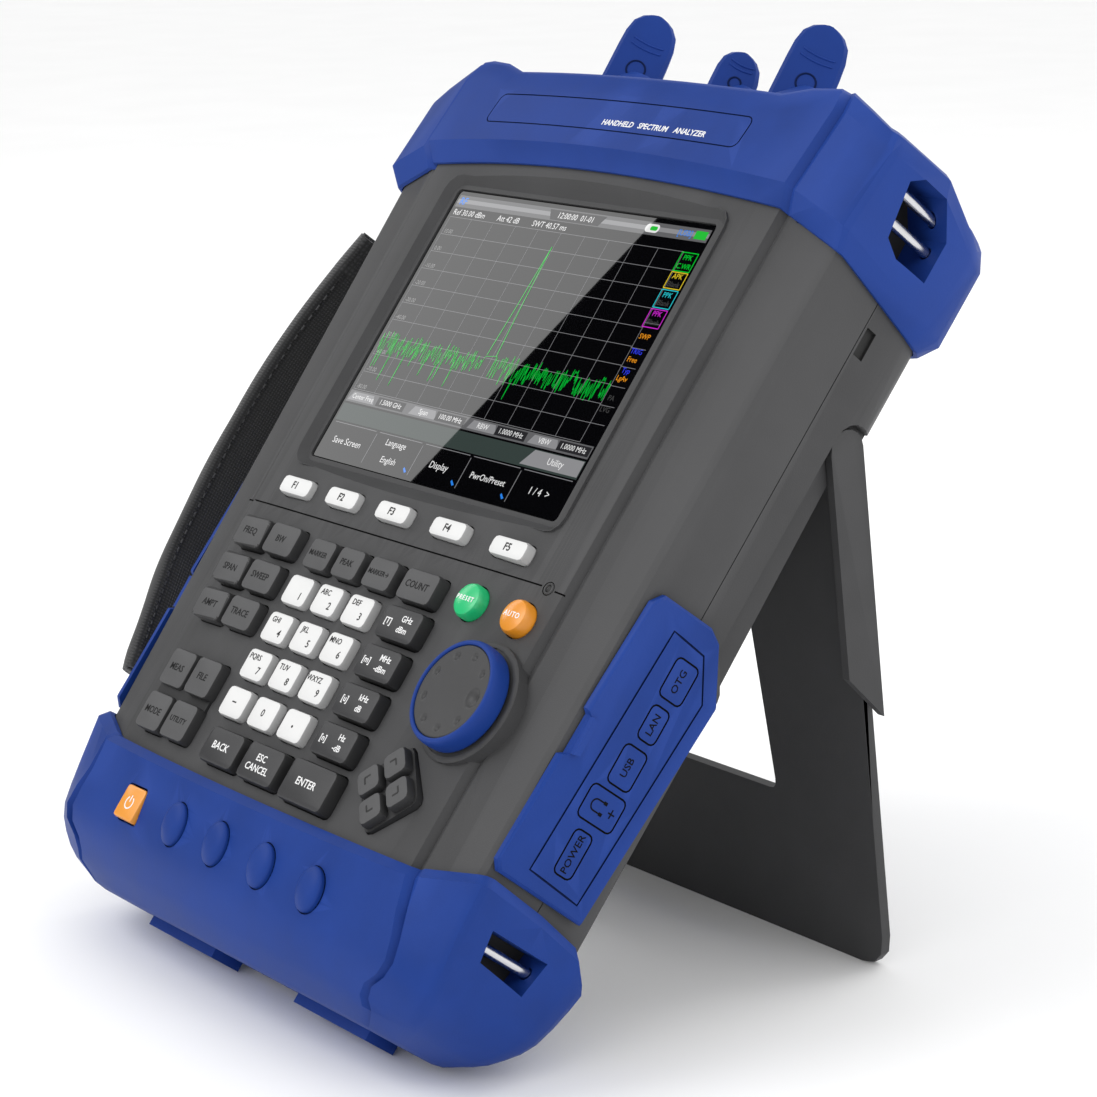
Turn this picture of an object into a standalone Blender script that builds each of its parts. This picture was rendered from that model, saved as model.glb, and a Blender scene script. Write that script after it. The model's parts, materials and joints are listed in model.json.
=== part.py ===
"""Handheld spectrum analyzer standing on its open kickstand.

The instrument is modelled in its own frame: u to the right across the face, v up the face and w out of
the face, with the origin in the middle of the display's top edge. One tilted empty carries that frame
into the world, so that the front looks along -Y and the instrument leans back onto its stand.
All lengths are named in millimetres; mesh_object() turns them into metres.
"""

import math

import bmesh
import bpy
from mathutils import Matrix, Vector

MM = 0.001

# ---- driving dimensions, millimetres ---------------------------------------------------------------
GAP = 0.3  # clearance between neighbouring pieces
WALL = 2.5  # wall of the two shells

HALF_WIDTH = 97.0  # body half width at the display's top edge
TAPER = 5.0 / 175.0  # half width lost for each millimetre down the body
SHELL_TOP, SHELL_BOTTOM = 34.0, -188.0  # v of the two ends of the shells
PARTING = -25.0  # w of the joint between front and rear shell
BACK = -48.0  # w of the back face
CROWN = 4.5  # w of the panel's crown
PANEL_RADIUS = 720.0  # the panel is gently convex across the body
PANEL_HALF = 76.0  # half width of the convex panel
CREASE = -7.6  # w at which the sloped facet has turned into the side
GROOVE_U, GROOVE_REACH = 77.8, 18.0  # the groove beside the panel, and how far its bends are felt

BUMPER_HALF, BUMPER_FRONT, BUMPER_BACK = 100.6, 5.0, -52.0
NOTCH_HALF, NOTCH_TOP, NOTCH_BOTTOM = 82.0, 6.0, -181.0  # shell corners given up to the bumpers

SCREEN_U, SCREEN_W, SCREEN_H = -1.5, 112.9, 84.7  # 5.6 inch display
WINDOW_MARGIN, WINDOW_THICK = 1.6, 1.2
SURROUND_W = 0.5  # the flat surround of the display

KEY_RISE, KEY_DEPTH = 3.4, 4.0  # key top above and key bottom below the panel
WHITE_RISE = 2.3  # the white keys stand lower
KEY_CLEAR = 0.35  # gap round a key in its hole
HOLE_RANGE = (-12.0, 14.0)  # w over which the key holes are cut

KNOB_U, KNOB_V, KNOB_RADIUS = 63.0, -137.2, 14.4
KNOB_SEAT = 2.2
DIMPLE_REACH = 9.0  # from the dial's axis to its finger recess
SHAFT_RADIUS = 3.0

HINGE_V, HINGE_W = -35.0, -42.0  # kickstand axis
STAND_OPEN = math.radians(43.2)
STAND_BACK = 5.4  # from the axis to the back face of the plate
STAND_THICK = 3.0
STAND_LENGTH = 145.0  # from the axis to the foot
STAND_HALF = 88.5
FLANGE_OUT, FLANGE_THICK = 93.0, 2.5
FLANGE_FRONT_END, FLANGE_BACK_END = 60.0, 73.0

CAP_SPREAD, CAP_MIDDLE, CAP_W = 37.0, 8.5, -22.0  # RF connectors on the top end
LARGE_CAP, SMALL_CAP = (8.0, 36.5), (5.6, 26.5)  # connector radius and height of the tab's tip
TAB_TURN = math.radians(45)  # the pull tabs face half way between the front and the right
TAB_THICK = 3.6
TOP_FACE = 36.5

COVER_IN, COVER_OUT = 93.7, 95.7  # inner and outer face of the side covers, half way down
COVER_HINGE = -42.0  # w of the line a cover turns on, at its rear edge

PAD_INNER, PAD_OUTER, PAD_FRONT, PAD_BACK, PAD_RISE = 21.0, 55.0, -26.0, -36.0, 2.6
BOTTOM_FACE = -218.6

# ---- keys: columns (u), rows (v) and sizes -----------------------------------------------------------
DIGIT_COLUMNS = (-22.4, -7.4, 7.5)
KEY_ROWS = (-125.4, -136.8, -148.2, -159.6)
LOWEST_ROW = ("key_minus", "key_0", "key_point")
PAIR_NAMES = ("key_pair_frequency", "key_pair_span", "key_pair_amplitude")
DIGIT_SIZE = (11.4, 8.7)
UNIT_U, UNIT_SIZE = 27.7, (17.0, 9.2)
FUNCTION_U, FUNCTION_V, FUNCTION_PITCH, FUNCTION_SIZE = -0.6, -97.2, 25.3, (14.8, 5.4)
PAIR_U = (-59.0, -41.4)
PAIR_ROWS = (-113.4, -125.0, -136.4)
PAIR_SIZE = (14.4, 9.2)
QUAD_U, QUAD_ROWS, QUAD_SIZE = (-57.0, -42.0), (-156.6, -170.0), (12.2, 11.0)
MARKER_U, MARKER_WIDTHS = (-19.9, -5.5, 9.8, 27.0), (11.6, 11.6, 12.6, 15.0)
MARKER_V, MARKER_HEIGHT = -114.4, 8.8
NAVIGATION = (("back", -15.6, 16.6, 10.0), ("escape", 4.4, 17.0, 10.4), ("enter", 26.4, 20.4, 11.6))
NAVIGATION_V = -172.2
ROUND_KEYS = (("preset", 46.2), ("auto", 64.6))
ROUND_V, ROUND_RADIUS = -113.3, 4.8
ARROW_U, ARROW_V, ARROW_REACH, ARROW_SIZE = 52.9, -164.9, 6.4, 7.5
ARROW_BASE = 5.2  # how much wider than twice the reach the pad's base is
POWER_U, POWER_V, POWER_SIZE = -46.6, -195.4, (10.0, 9.6)
DOME_U = (-21.4, 0.4, 22.4, 44.4)
DOME_SIZE = (4.6, 5.6)
DOME_TILT = 0.175  # the domes lean back with the face they stand on


def clear_scene():
    for obj in list(bpy.data.objects):
        bpy.data.objects.remove(obj, do_unlink=True)


def material(name, colour, roughness, metallic=0.0):
    """A plain Principled material, made once for each name."""
    made = bpy.data.materials.get(name)
    if made:
        return made
    made = bpy.data.materials.new(name)
    made.use_nodes = True
    shader = made.node_tree.nodes["Principled BSDF"]
    shader.inputs["Base Color"].default_value = (*colour, 1.0)
    shader.inputs["Roughness"].default_value = roughness
    shader.inputs["Metallic"].default_value = metallic
    return made


def grey_plastic():
    return material("grey_plastic", (0.09, 0.09, 0.095), 0.6)


def blue_rubber():
    return material("blue_rubber", (0.02, 0.07, 0.36), 0.55)


def steel():
    return material("steel", (0.6, 0.6, 0.62), 0.25, 1.0)


def black_plastic():
    return material("black_plastic", (0.02, 0.02, 0.02), 0.5)


def dark_rubber():
    return material("dark_rubber", (0.07, 0.07, 0.075), 0.7)


def white_rubber():
    return material("white_rubber", (0.8, 0.8, 0.8), 0.5)


# ---- mesh helpers ------------------------------------------------------------------------------------
def mesh_object(name, mesh_data, surface, parent, smooth=False):
    """An object in metres from a bmesh in millimetres, with its faces turned outwards."""
    bmesh.ops.recalc_face_normals(mesh_data, faces=mesh_data.faces)
    bmesh.ops.scale(mesh_data, vec=(MM, MM, MM), verts=mesh_data.verts)
    mesh = bpy.data.meshes.new(name)
    mesh_data.to_mesh(mesh)
    mesh_data.free()
    if smooth:
        mesh.shade_smooth()
        mesh.set_sharp_from_angle(angle=math.radians(35))
    mesh.materials.append(surface)
    obj = bpy.data.objects.new(name, mesh)
    bpy.context.collection.objects.link(obj)
    obj.parent = parent
    return obj


def add_loft(mesh_data, rings):
    """Skins closed rings of equal length and caps both ends."""
    made = [[mesh_data.verts.new(point) for point in ring] for ring in rings]
    count = len(made[0])
    for lower, upper in zip(made, made[1:]):
        for i in range(count):
            j = (i + 1) % count
            mesh_data.faces.new((lower[i], lower[j], upper[j], upper[i]))
    mesh_data.faces.new(made[0])
    mesh_data.faces.new(made[-1])


def loft_object(name, rings, surface, parent, smooth=False):
    mesh_data = bmesh.new()
    add_loft(mesh_data, rings)
    return mesh_object(name, mesh_data, surface, parent, smooth)


def rounded_rectangle(width, height, radius, steps=3):
    """Points round a rectangle about (0, 0), counter-clockwise, with arcs at its corners."""
    points = []
    for quarter, (sx, sy) in enumerate(((1, 1), (-1, 1), (-1, -1), (1, -1))):
        cx, cy = sx * (width / 2 - radius), sy * (height / 2 - radius)
        for step in range(steps + 1):
            angle = math.pi / 2 * (quarter + step / steps)
            points.append((cx + radius * math.cos(angle), cy + radius * math.sin(angle)))
    return points


def circle(radius, steps=24):
    return [
        (radius * math.cos(2 * math.pi * i / steps), radius * math.sin(2 * math.pi * i / steps))
        for i in range(steps)
    ]


def flat_ring(outline, w, centre=(0.0, 0.0)):
    """An outline in u and v, at one height w."""
    return [(centre[0] + x, centre[1] + y, w) for x, y in outline]


def side_ring(outline, u):
    """An outline in v and w, at one distance u."""
    return [(u, v, w) for v, w in outline]


def end_ring(outline, v, centre=(0.0, 0.0)):
    """An outline in u and w, at one height v."""
    return [(centre[0] + x, v, centre[1] + y) for x, y in outline]


def make_cutter(name, parent, groups):
    """One hidden mesh of separate lofts, each given by its rings."""
    mesh_data = bmesh.new()
    for rings in groups:
        add_loft(mesh_data, rings)
    cutter = mesh_object(name, mesh_data, black_plastic(), parent)
    cutter.hide_render = True
    cutter.display_type = "WIRE"
    return cutter


def combine(obj, other, operation="DIFFERENCE"):
    modifier = obj.modifiers.new(operation.lower(), "BOOLEAN")
    modifier.operation = operation
    modifier.object = other
    modifier.solver = "EXACT"


def block_rings(low, high):
    """Two rings of a plain block."""
    corners = ((low[0], low[1]), (high[0], low[1]), (high[0], high[1]), (low[0], high[1]))
    return [[(x, y, w) for x, y in corners] for w in (low[2], high[2])]


def rod_rings(start, end, radius, steps=12):
    """Two rings of a round rod from one point to another."""
    axis = (Vector(end) - Vector(start)).normalized()
    turn = Vector((0, 0, 1)).rotation_difference(axis).to_matrix()
    around = [turn @ Vector((x, y, 0)) for x, y in circle(radius, steps)]
    return [[tuple(Vector(end_point) + offset) for offset in around] for end_point in (start, end)]


def turned_rings(profile, centre, steps=32):
    """Rings about an axis along w, from (radius, w) pairs."""
    return [flat_ring(circle(radius, steps), w, centre) for radius, w in profile]


def soft_block_rings(outline_of, low, high, edge, centre):
    """A prism along w whose upper edge is rounded: outline_of(inset) gives its outline."""
    return [
        flat_ring(outline_of(0.0), low, centre),
        flat_ring(outline_of(0.0), high - edge, centre),
        flat_ring(outline_of(edge * 0.3), high - edge * 0.3, centre),
        flat_ring(outline_of(edge), high, centre),
    ]


# ---- the body's section ------------------------------------------------------------------------------
def panel_height(u):
    return CROWN - u * u / (2 * PANEL_RADIUS)


def half_section():
    """(u, w) from the crown of the panel round to the middle of the back, at full width."""
    steps = 8
    points = [(PANEL_HALF * i / steps, panel_height(PANEL_HALF * i / steps)) for i in range(steps + 1)]
    points += [(77.4, -1.7), (79.4, -1.0)]  # the groove beside the panel
    points += [(87.0, -2.9), (94.4, -4.7)]  # the sloped facet
    points += [(96.3, -5.7), (HALF_WIDTH, CREASE)]
    points += [(96.8, PARTING), (95.9, -39.0)]
    points += [(94.9, -43.6), (92.3, -46.8), (88.0, BACK)]
    points += [(83.5, BACK), (42.0, BACK), (0.0, BACK)]
    return points


def full_section():
    half = half_section()
    return half + [(-u, w) for u, w in reversed(half[1:-1])]


def taper(v):
    return 1.0 + v * TAPER / HALF_WIDTH


def section_point(u, w, half, front, back):
    """A point of the section, stretched to another half width, front offset and back depth."""
    if w >= CREASE:
        moved = w + front
    else:
        start = CREASE + front
        moved = start + (CREASE - w) / (CREASE - BACK) * (back - start)
    return u * half / HALF_WIDTH, moved


def section_ring(height, half=HALF_WIDTH, front=0.0, back=BACK, bow=0.0, puff=0.0):
    """A ring of the section; height is v, or a function of the section's own (u, w).

    The bow moves the groove beside the panel outwards, and the puff swells the facet beyond it.
    """
    ring = []
    for u, w in full_section():
        v = height(u, w) if callable(height) else height
        x, z = section_point(u, w, half, front, back)
        if w > CREASE:
            near = max(0.0, 1.0 - abs(abs(u) - GROOVE_U) / GROOVE_REACH)
            x += math.copysign(bow * near, u)
            z += puff * near * (abs(u) > GROOVE_U)
        ring.append((x * taper(v), v, z))
    return ring


def half_ring(v, outline):
    return [(u * taper(v), v, w) for u, w in outline]


# ---- shells ------------------------------------------------------------------------------------------
def front_outline():
    upper = [(u, w) for u, w in half_section() if w > PARTING]
    right = upper + [(96.8, PARTING + GAP / 2)]
    return right + [(-u, w) for u, w in reversed(right[1:])]


def rear_outline():
    lower = [(u, w) for u, w in half_section() if w < PARTING]
    right = [(96.8, PARTING - GAP / 2)] + lower
    return right + [(-u, w) for u, w in reversed(right[:-1])]


def corner_notches(shift=0.0):
    """Blocks that take the four corners off the shells, where the bumpers are solid."""
    far, deep, high = 130.0, -80.0, 30.0
    groups = []
    for side in (-1, 1):
        low_u, high_u = sorted((side * (NOTCH_HALF + shift), side * far))
        groups.append(block_rings((low_u, NOTCH_TOP + shift, deep), (high_u, 60.0, high)))
        groups.append(block_rings((low_u, -240.0, deep), (high_u, NOTCH_BOTTOM - shift, high)))
    return groups


def front_cavity():
    """The room inside the front shell, open towards the rear shell."""
    half = [(0.0, CROWN - WALL)]
    half += [(u, panel_height(u) - WALL) for u in (25.0, 50.0, 73.0)]
    half += [(76.5, -4.4), (93.6, -8.2), (94.2, -11.0), (94.2, PARTING - 3.0)]
    outline = half + [(-u, w) for u, w in reversed(half[1:])]
    return [half_ring(v, outline) for v in (SHELL_BOTTOM + WALL, SHELL_TOP - WALL)]


def rear_cavity():
    half = [(86.6, PARTING + 3.0), (86.6, -38.5), (84.5, -41.2), (0.0, -41.2)]
    outline = half + [(-u, w) for u, w in reversed(half[:-1])]
    return [half_ring(v, outline) for v in (SHELL_BOTTOM + WALL, SHELL_TOP - WALL)]


def key_outline(width, height, radius=1.6):
    """The outline of a cap, as a function of how far it is drawn in."""

    def outline(inset):
        return rounded_rectangle(width - 2 * inset, height - 2 * inset, max(radius - inset, 0.4), 2)

    return outline


def quarter_turned(outline):
    """An outline turned by 45 degrees."""
    return [((x - y) * math.sqrt(0.5), (x + y) * math.sqrt(0.5)) for x, y in outline]


def key_specs():
    """Every rectangular cap as (node, centre, size); caps moulded as one piece share a node."""
    specs = []
    for row, v in enumerate(KEY_ROWS):
        for column, u in enumerate(DIGIT_COLUMNS):
            digit = f"key_{3 * row + column + 1}"
            name = LOWEST_ROW[column] if row == 3 else digit
            specs.append((name, (u, v), DIGIT_SIZE))
        unit = ("giga", "mega", "kilo", "base")[row]
        specs.append((f"key_unit_{unit}", (UNIT_U, v), UNIT_SIZE))
    for i in range(5):
        specs.append((f"key_f{i + 1}", ((i - 2) * FUNCTION_PITCH + FUNCTION_U, FUNCTION_V), FUNCTION_SIZE))
    for name, v in zip(PAIR_NAMES, PAIR_ROWS):
        specs += [(name, (u, v), PAIR_SIZE) for u in PAIR_U]
    for v in QUAD_ROWS:
        specs += [("key_quad_system", (u, v), QUAD_SIZE) for u in QUAD_U]
    for u, width in zip(MARKER_U, MARKER_WIDTHS):
        specs.append(("key_row_marker", (u, MARKER_V), (width, MARKER_HEIGHT)))
    for name, u, width, height in NAVIGATION:
        specs.append((f"key_{name}", (u, NAVIGATION_V), (width, height)))
    return specs


def web_specs():
    """The rubber webs that join caps moulded as one piece: node, centre, size."""
    webs = [
        (name, (sum(PAIR_U) / 2, v), (PAIR_U[1] - PAIR_U[0] + PAIR_SIZE[0], 4.0))
        for name, v in zip(PAIR_NAMES, PAIR_ROWS)
    ]
    quad_v = sum(QUAD_ROWS) / 2
    quad_reach = (QUAD_U[1] - QUAD_U[0] + QUAD_SIZE[0], QUAD_ROWS[0] - QUAD_ROWS[1] + QUAD_SIZE[1])
    webs.append(("key_quad_system", (sum(QUAD_U) / 2, quad_v), (quad_reach[0] - 1.0, quad_reach[1] - 1.0)))
    left = MARKER_U[0] - MARKER_WIDTHS[0] / 2
    right = MARKER_U[-1] + MARKER_WIDTHS[-1] / 2
    webs.append(("key_row_marker", ((left + right) / 2, MARKER_V), (right - left, 4.0)))
    return webs


def key_hole_groups():
    low, high = HOLE_RANGE
    groups = []
    for _, centre, (width, height) in key_specs():
        outline = rounded_rectangle(width + 2 * KEY_CLEAR, height + 2 * KEY_CLEAR, 1.7, 2)
        groups.append([flat_ring(outline, w, centre) for w in (low, high)])
    radius = ROUND_RADIUS + KEY_CLEAR
    for _, u in ROUND_KEYS:
        groups.append(turned_rings([(radius, low), (radius, high)], (u, ROUND_V), 24))
    side = 2 * ARROW_REACH + ARROW_BASE + 2 * KEY_CLEAR
    turned = quarter_turned(rounded_rectangle(side, side, 2.4, 2))
    groups.append([flat_ring(turned, w, (ARROW_U, ARROW_V)) for w in (low, high)])
    return groups


def web_hole_groups():
    groups = []
    for _, centre, (width, height) in web_specs():
        outline = rounded_rectangle(width + 2 * KEY_CLEAR, height + 2 * KEY_CLEAR, 1.0, 1)
        groups.append([flat_ring(outline, w, centre) for w in HOLE_RANGE])
    return groups


def surround_rings():
    """The flat surround sinks into the convex panel with sloped sides."""
    centre = (SCREEN_U * 0.5, -SCREEN_H / 2)
    inner = rounded_rectangle(SCREEN_W + 8.0, SCREEN_H + 6.0, 4.0)
    outer = rounded_rectangle(SCREEN_W + 22.0, SCREEN_H + 20.0, 8.0)
    return [flat_ring(inner, SURROUND_W, centre), flat_ring(outer, SURROUND_W + 7.0, centre)]


def display_seat(body):
    """Fills the shell out under the surround, where the crown alone would leave no wall."""
    outline = rounded_rectangle(SCREEN_W + 12.4, SCREEN_H + 10.4, 5.0)
    rings = [flat_ring(outline, w, (SCREEN_U * 0.5, -SCREEN_H / 2)) for w in (-2.1, 2.6)]
    return make_cutter("display_seat", body, [rings])


def make_front_shell(body):
    rings = [half_ring(v, front_outline()) for v in (SHELL_BOTTOM, SHELL_TOP)]
    shell = loft_object("front_shell", rings, grey_plastic(), body, smooth=True)
    boss = [turned_rings([(16.6, -6.0), (16.6, 2.2), (16.0, 2.6)], (KNOB_U, KNOB_V))]
    combine(shell, make_cutter("boss_body", body, boss), "UNION")
    combine(shell, make_cutter("front_cavity", body, [front_cavity()]))
    combine(shell, display_seat(body), "UNION")
    window = rounded_rectangle(SCREEN_W + 2 * WINDOW_MARGIN, SCREEN_H + 2 * WINDOW_MARGIN, 1.5)
    seat = KNOB_RADIUS + 0.7
    recesses = [surround_rings(), turned_rings([(seat, KNOB_SEAT), (seat, 20.0)], (KNOB_U, KNOB_V))]
    combine(shell, make_cutter("panel_recesses", body, recesses))
    through = [flat_ring(window, w, (SCREEN_U, -SCREEN_H / 2)) for w in (-10.0, 10.0)]
    bore = SHAFT_RADIUS + 1.0
    shaft = turned_rings([(bore, w) for w in HOLE_RANGE], (KNOB_U, KNOB_V), 16)
    combine(shell, make_cutter("key_holes", body, [through, shaft] + key_hole_groups()))
    combine(shell, make_cutter("web_holes", body, web_hole_groups()))
    combine(shell, bpy.data.objects["corner_notches"])
    combine(shell, bpy.data.objects["port_window"])
    combine(shell, bpy.data.objects["connector_bores"])


def side_slot_groups():
    """A slot behind the parting line on both sides, near the top."""
    groups = []
    for side in (-1, 1):
        u_range = sorted((side * 95.2, side * 99.0))
        groups.append(block_rings((u_range[0], -15.8, -29.6), (u_range[1], -8.0, -25.9)))
    return groups


def make_rear_shell(body):
    rings = [half_ring(v, rear_outline()) for v in (SHELL_BOTTOM, SHELL_TOP)]
    shell = loft_object("rear_shell", rings, grey_plastic(), body, smooth=True)
    combine(shell, make_cutter("rear_cavity", body, [rear_cavity()]))
    combine(shell, make_cutter("side_slots", body, side_slot_groups()))
    for number, room in enumerate(stand_room_groups()):
        combine(shell, make_cutter(f"stand_room_{number}", body, [room]))
    combine(shell, make_cutter("flange_room", body, flange_room_groups()))
    bores = [
        rod_rings((side * 84.0, HINGE_V, HINGE_W), (side * 92.0, HINGE_V, HINGE_W), TRUNNION + GAP, 16)
        for side in (-1, 1)
    ]
    combine(shell, make_cutter("trunnion_bores", body, bores))
    combine(shell, bpy.data.objects["corner_notches"])
    combine(shell, bpy.data.objects["port_window"])
    combine(shell, bpy.data.objects["connector_bores"])


# ---- kickstand ---------------------------------------------------------------------------------------
TRUNNION = 1.8
PLATE_TOP = 1.0  # the plate starts just below the axis, so that its edge clears the pocket as it swings
WINDOW_TOP, WINDOW_LOW = 16.0, 103.0  # distances from the axis along the plate
WINDOW_TOP_HALF, WINDOW_LOW_HALF = 40.0, 49.5


def window_outline(shrink=0.0, radius=3.0):
    """The plate's window in u and distance below the axis, as rounded corners of a trapezoid."""
    corners = (
        (WINDOW_LOW_HALF - shrink, WINDOW_LOW - shrink),
        (WINDOW_TOP_HALF - shrink, WINDOW_TOP + shrink),
        (-WINDOW_TOP_HALF + shrink, WINDOW_TOP + shrink),
        (-WINDOW_LOW_HALF + shrink, WINDOW_LOW - shrink),
    )
    return rounded_polygon(corners, [radius] * 4)


def rounded_polygon(corners, radii, steps=3):
    """Each corner replaced by a short curve that starts and ends its radius away from it."""
    points = []
    count = len(corners)
    for i, (corner, radius) in enumerate(zip(corners, radii)):
        here = Vector(corner)
        before = (Vector(corners[i - 1]) - here).normalized() * radius
        after = (Vector(corners[(i + 1) % count]) - here).normalized() * radius
        for step in range(steps + 1):
            t = step / steps
            offset = before * (1 - t) ** 2 + after * t**2
            points.append(tuple(here + offset))
    return points


def plate_outline():
    foot_radius = 9.0
    corners = (
        (STAND_HALF, PLATE_TOP),
        (-STAND_HALF, PLATE_TOP),
        (-STAND_HALF, STAND_LENGTH),
        (STAND_HALF, STAND_LENGTH),
    )
    return rounded_polygon(corners, (1.0, 1.0, foot_radius, foot_radius))


def flange_outline(grow=0.0):
    """The flange in distance along the plate and height above the axis: round top, slanted end."""
    reach = STAND_BACK + grow
    points = [
        (-reach * math.sin(angle), -reach * math.cos(angle))
        for angle in [math.pi * step / 8 for step in range(9)]
    ]
    return points + [(FLANGE_FRONT_END + grow, reach), (FLANGE_BACK_END + grow * 1.6, -reach)]


def stand_room_groups():
    """The pocket that takes the folded plate; below the flanges it runs out at both sides."""
    floor = HINGE_W - STAND_BACK + STAND_THICK + 0.5
    top, middle, low = HINGE_V + 5.4, HINGE_V - FLANGE_BACK_END - 0.8, HINGE_V - STAND_LENGTH - 1.0
    half = FLANGE_OUT - FLANGE_THICK + 0.1
    upper = ((half, top), (-half, top), (-half, middle - 1.0), (half, middle - 1.0))
    lower = ((110.0, middle), (-110.0, middle), (-110.0, low), (110.0, low))
    return [[flat_ring(outline, w) for w in (floor, BACK - 8.0)] for outline in (upper, lower)]


def flange_room_groups():
    """Side recesses that take the folded flanges, and let them swing back."""
    groups = []
    for side in (-1, 1):
        inner = side * (FLANGE_OUT - FLANGE_THICK - 0.4)
        swept = [(t, h) for t, h in flange_outline(1.4) if h > 0 or t > 0]
        tip, reach = swept[-1][0], STAND_BACK + 1.4
        swept += [(tip, -reach - 12.0), (-reach, -reach - 12.0), (-reach, 0.0)]
        outline = [(HINGE_V - t, HINGE_W + h) for t, h in swept]
        groups.append([side_ring(outline, u) for u in (inner, side * 110.0)])
    return groups


def make_kickstand(hinge):
    """Modelled folded, about its own axis: t runs down the plate and h out of the back."""
    face, inside = -STAND_BACK, -STAND_BACK + STAND_THICK
    outline = [(u, -t) for u, t in plate_outline()]
    stand = loft_object("kickstand", [flat_ring(outline, w) for w in (face, inside)], grey_plastic(), hinge)
    window = [(u, -t) for u, t in window_outline()]
    through = [flat_ring(window, w) for w in (face - 3.0, inside + 3.0)]
    combine(stand, make_cutter("stand_window", hinge, [through]))
    for side, name in ((1, "right"), (-1, "left")):
        inner, outer = FLANGE_OUT - FLANGE_THICK, FLANGE_OUT
        sheet = [(-t, h) for t, h in flange_outline()]
        flange = [side_ring(sheet, side * u) for u in (inner, outer)]
        combine(stand, make_cutter(f"flange_{name}", hinge, [flange]), "UNION")
        strip = [(-2.0, face), (-2.0, inside - 0.2), (-66.0, inside - 0.2), (-66.0, face)]
        bridge = [side_ring(strip, side * u) for u in (STAND_HALF - 4.0, inner + 1.0)]
        combine(stand, make_cutter(f"flange_bridge_{name}", hinge, [bridge]), "UNION")
        pin = rod_rings((side * 87.4, 0, 0), (side * (inner + 1.0), 0, 0), TRUNNION, 16)
        combine(stand, make_cutter(f"trunnion_{name}", hinge, [pin]), "UNION")
    return stand


# ---- bumpers -----------------------------------------------------------------------------------------
def blend(value, start, end, low, high):
    """Linear change from low to high while value goes from start to end."""
    share = min(max((value - start) / (end - start), 0.0), 1.0)
    return low + share * (high - low)


def top_lip(u, w):
    """v of the top bumper's lower edge, round the section."""
    reach = abs(u)
    if w < CREASE:
        return blend(w, CREASE, -42.0, 1.0, -4.4)
    if reach <= PANEL_HALF:
        return 10.0 - 1.9 * (reach / PANEL_HALF) ** 2
    return blend(reach, PANEL_HALF, HALF_WIDTH, 8.1, 1.3)


def bottom_lip(u, w):
    """v of the bottom bumper's upper edge, round the section."""
    reach = abs(u)
    if w < CREASE:
        return blend(w, -38.0, -46.0, blend(w, CREASE, -42.0, -173.6, -176.7), -184.0)
    if reach <= PANEL_HALF:
        return -181.0 + 1.3 * (reach / PANEL_HALF) ** 2
    return blend(reach, PANEL_HALF, HALF_WIDTH, -179.7, -173.6)


def ear(u):
    """The rise of the two corner ears above the top edge."""
    reach = abs(u)
    return 3.8 * min(max((reach - 60.0) / 9.0, 0.0), 1.0) * min(max((92.0 - reach) / 10.0, 0.0), 1.0)


def top_edge(u, w):
    """v of the top bumper's upper edge; towards the rear corners it falls away."""
    if w < CREASE:
        fall = blend(abs(u), 83.5, 95.0, 0.0, 1.0) * blend(w, PARTING, BACK + 4.0, 0.0, 8.5)
        return 36.4 - fall
    return blend(abs(u), 80.0, HALF_WIDTH, 39.6, 36.0) + ear(u)


def lifted(edge, rise):
    return lambda u, w: edge(u, w) + rise


def top_face(u, w):
    return min(top_edge(u, w) - 0.3, TOP_FACE - 0.3)


def core_rings(low, high, grow):
    """The body's own outer form, grown a little, to hollow the bumpers with."""
    ring = {"half": HALF_WIDTH + grow, "front": grow, "back": BACK - grow}
    return [section_ring(low, **ring), section_ring(high, **ring)]


def make_core(body, name, low, high):
    """The form that a bumper is pulled over, its corners cut back like the shells'."""
    core = make_cutter(name, body, [core_rings(low, high, GAP)])
    combine(core, make_cutter(name + "_corners", body, corner_notches(GAP)))
    return core


def boot_room():
    """The hollow end of the bottom bumper, below the shells."""
    low, high = (-74.0, -211.0, -38.0), (74.0, SHELL_BOTTOM + 2.0, -12.0)
    return block_rings(low, high)


# the strap openings: outline in v and w on the side, and the steel bars that cross them
TOP_OPENING = (
    (9.2, -32.2), (8.8, -20.0), (11.6, -14.4), (26.4, -11.8), (29.6, -16.0), (29.6, -25.0), (21.0, -32.2)
)
BOTTOM_OPENING = ((-194.4, -31.0), (-192.4, -14.2), (-184.3, -12.6), (-184.5, -33.0))
TOP_BARS, BOTTOM_BAR = (25.2, 17.4), -188.8
BAR_RADIUS, BAR_FRONT, BAR_BACK = 1.5, -8.8, -35.4
TOP_BAR_U, BOTTOM_BAR_U = 95.2, 90.2
POCKET_FLOOR, BOTTOM_POCKET_FLOOR = 86.5, 85.2
RIM_INNER = (86.0, -9.0, -38.0)  # half width, front and back where a bumper's rim ends, inside the shells


def opening_groups(outline, depth):
    return [
        [side_ring(outline, u) for u in (side * depth, side * 112.0)]
        for side in (-1, 1)
    ]


def bar_rings(side, u, v, grow=0.0):
    return rod_rings((side * u, v, BAR_FRONT + grow), (side * u, v, BAR_BACK - grow), BAR_RADIUS + grow, 12)


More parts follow.
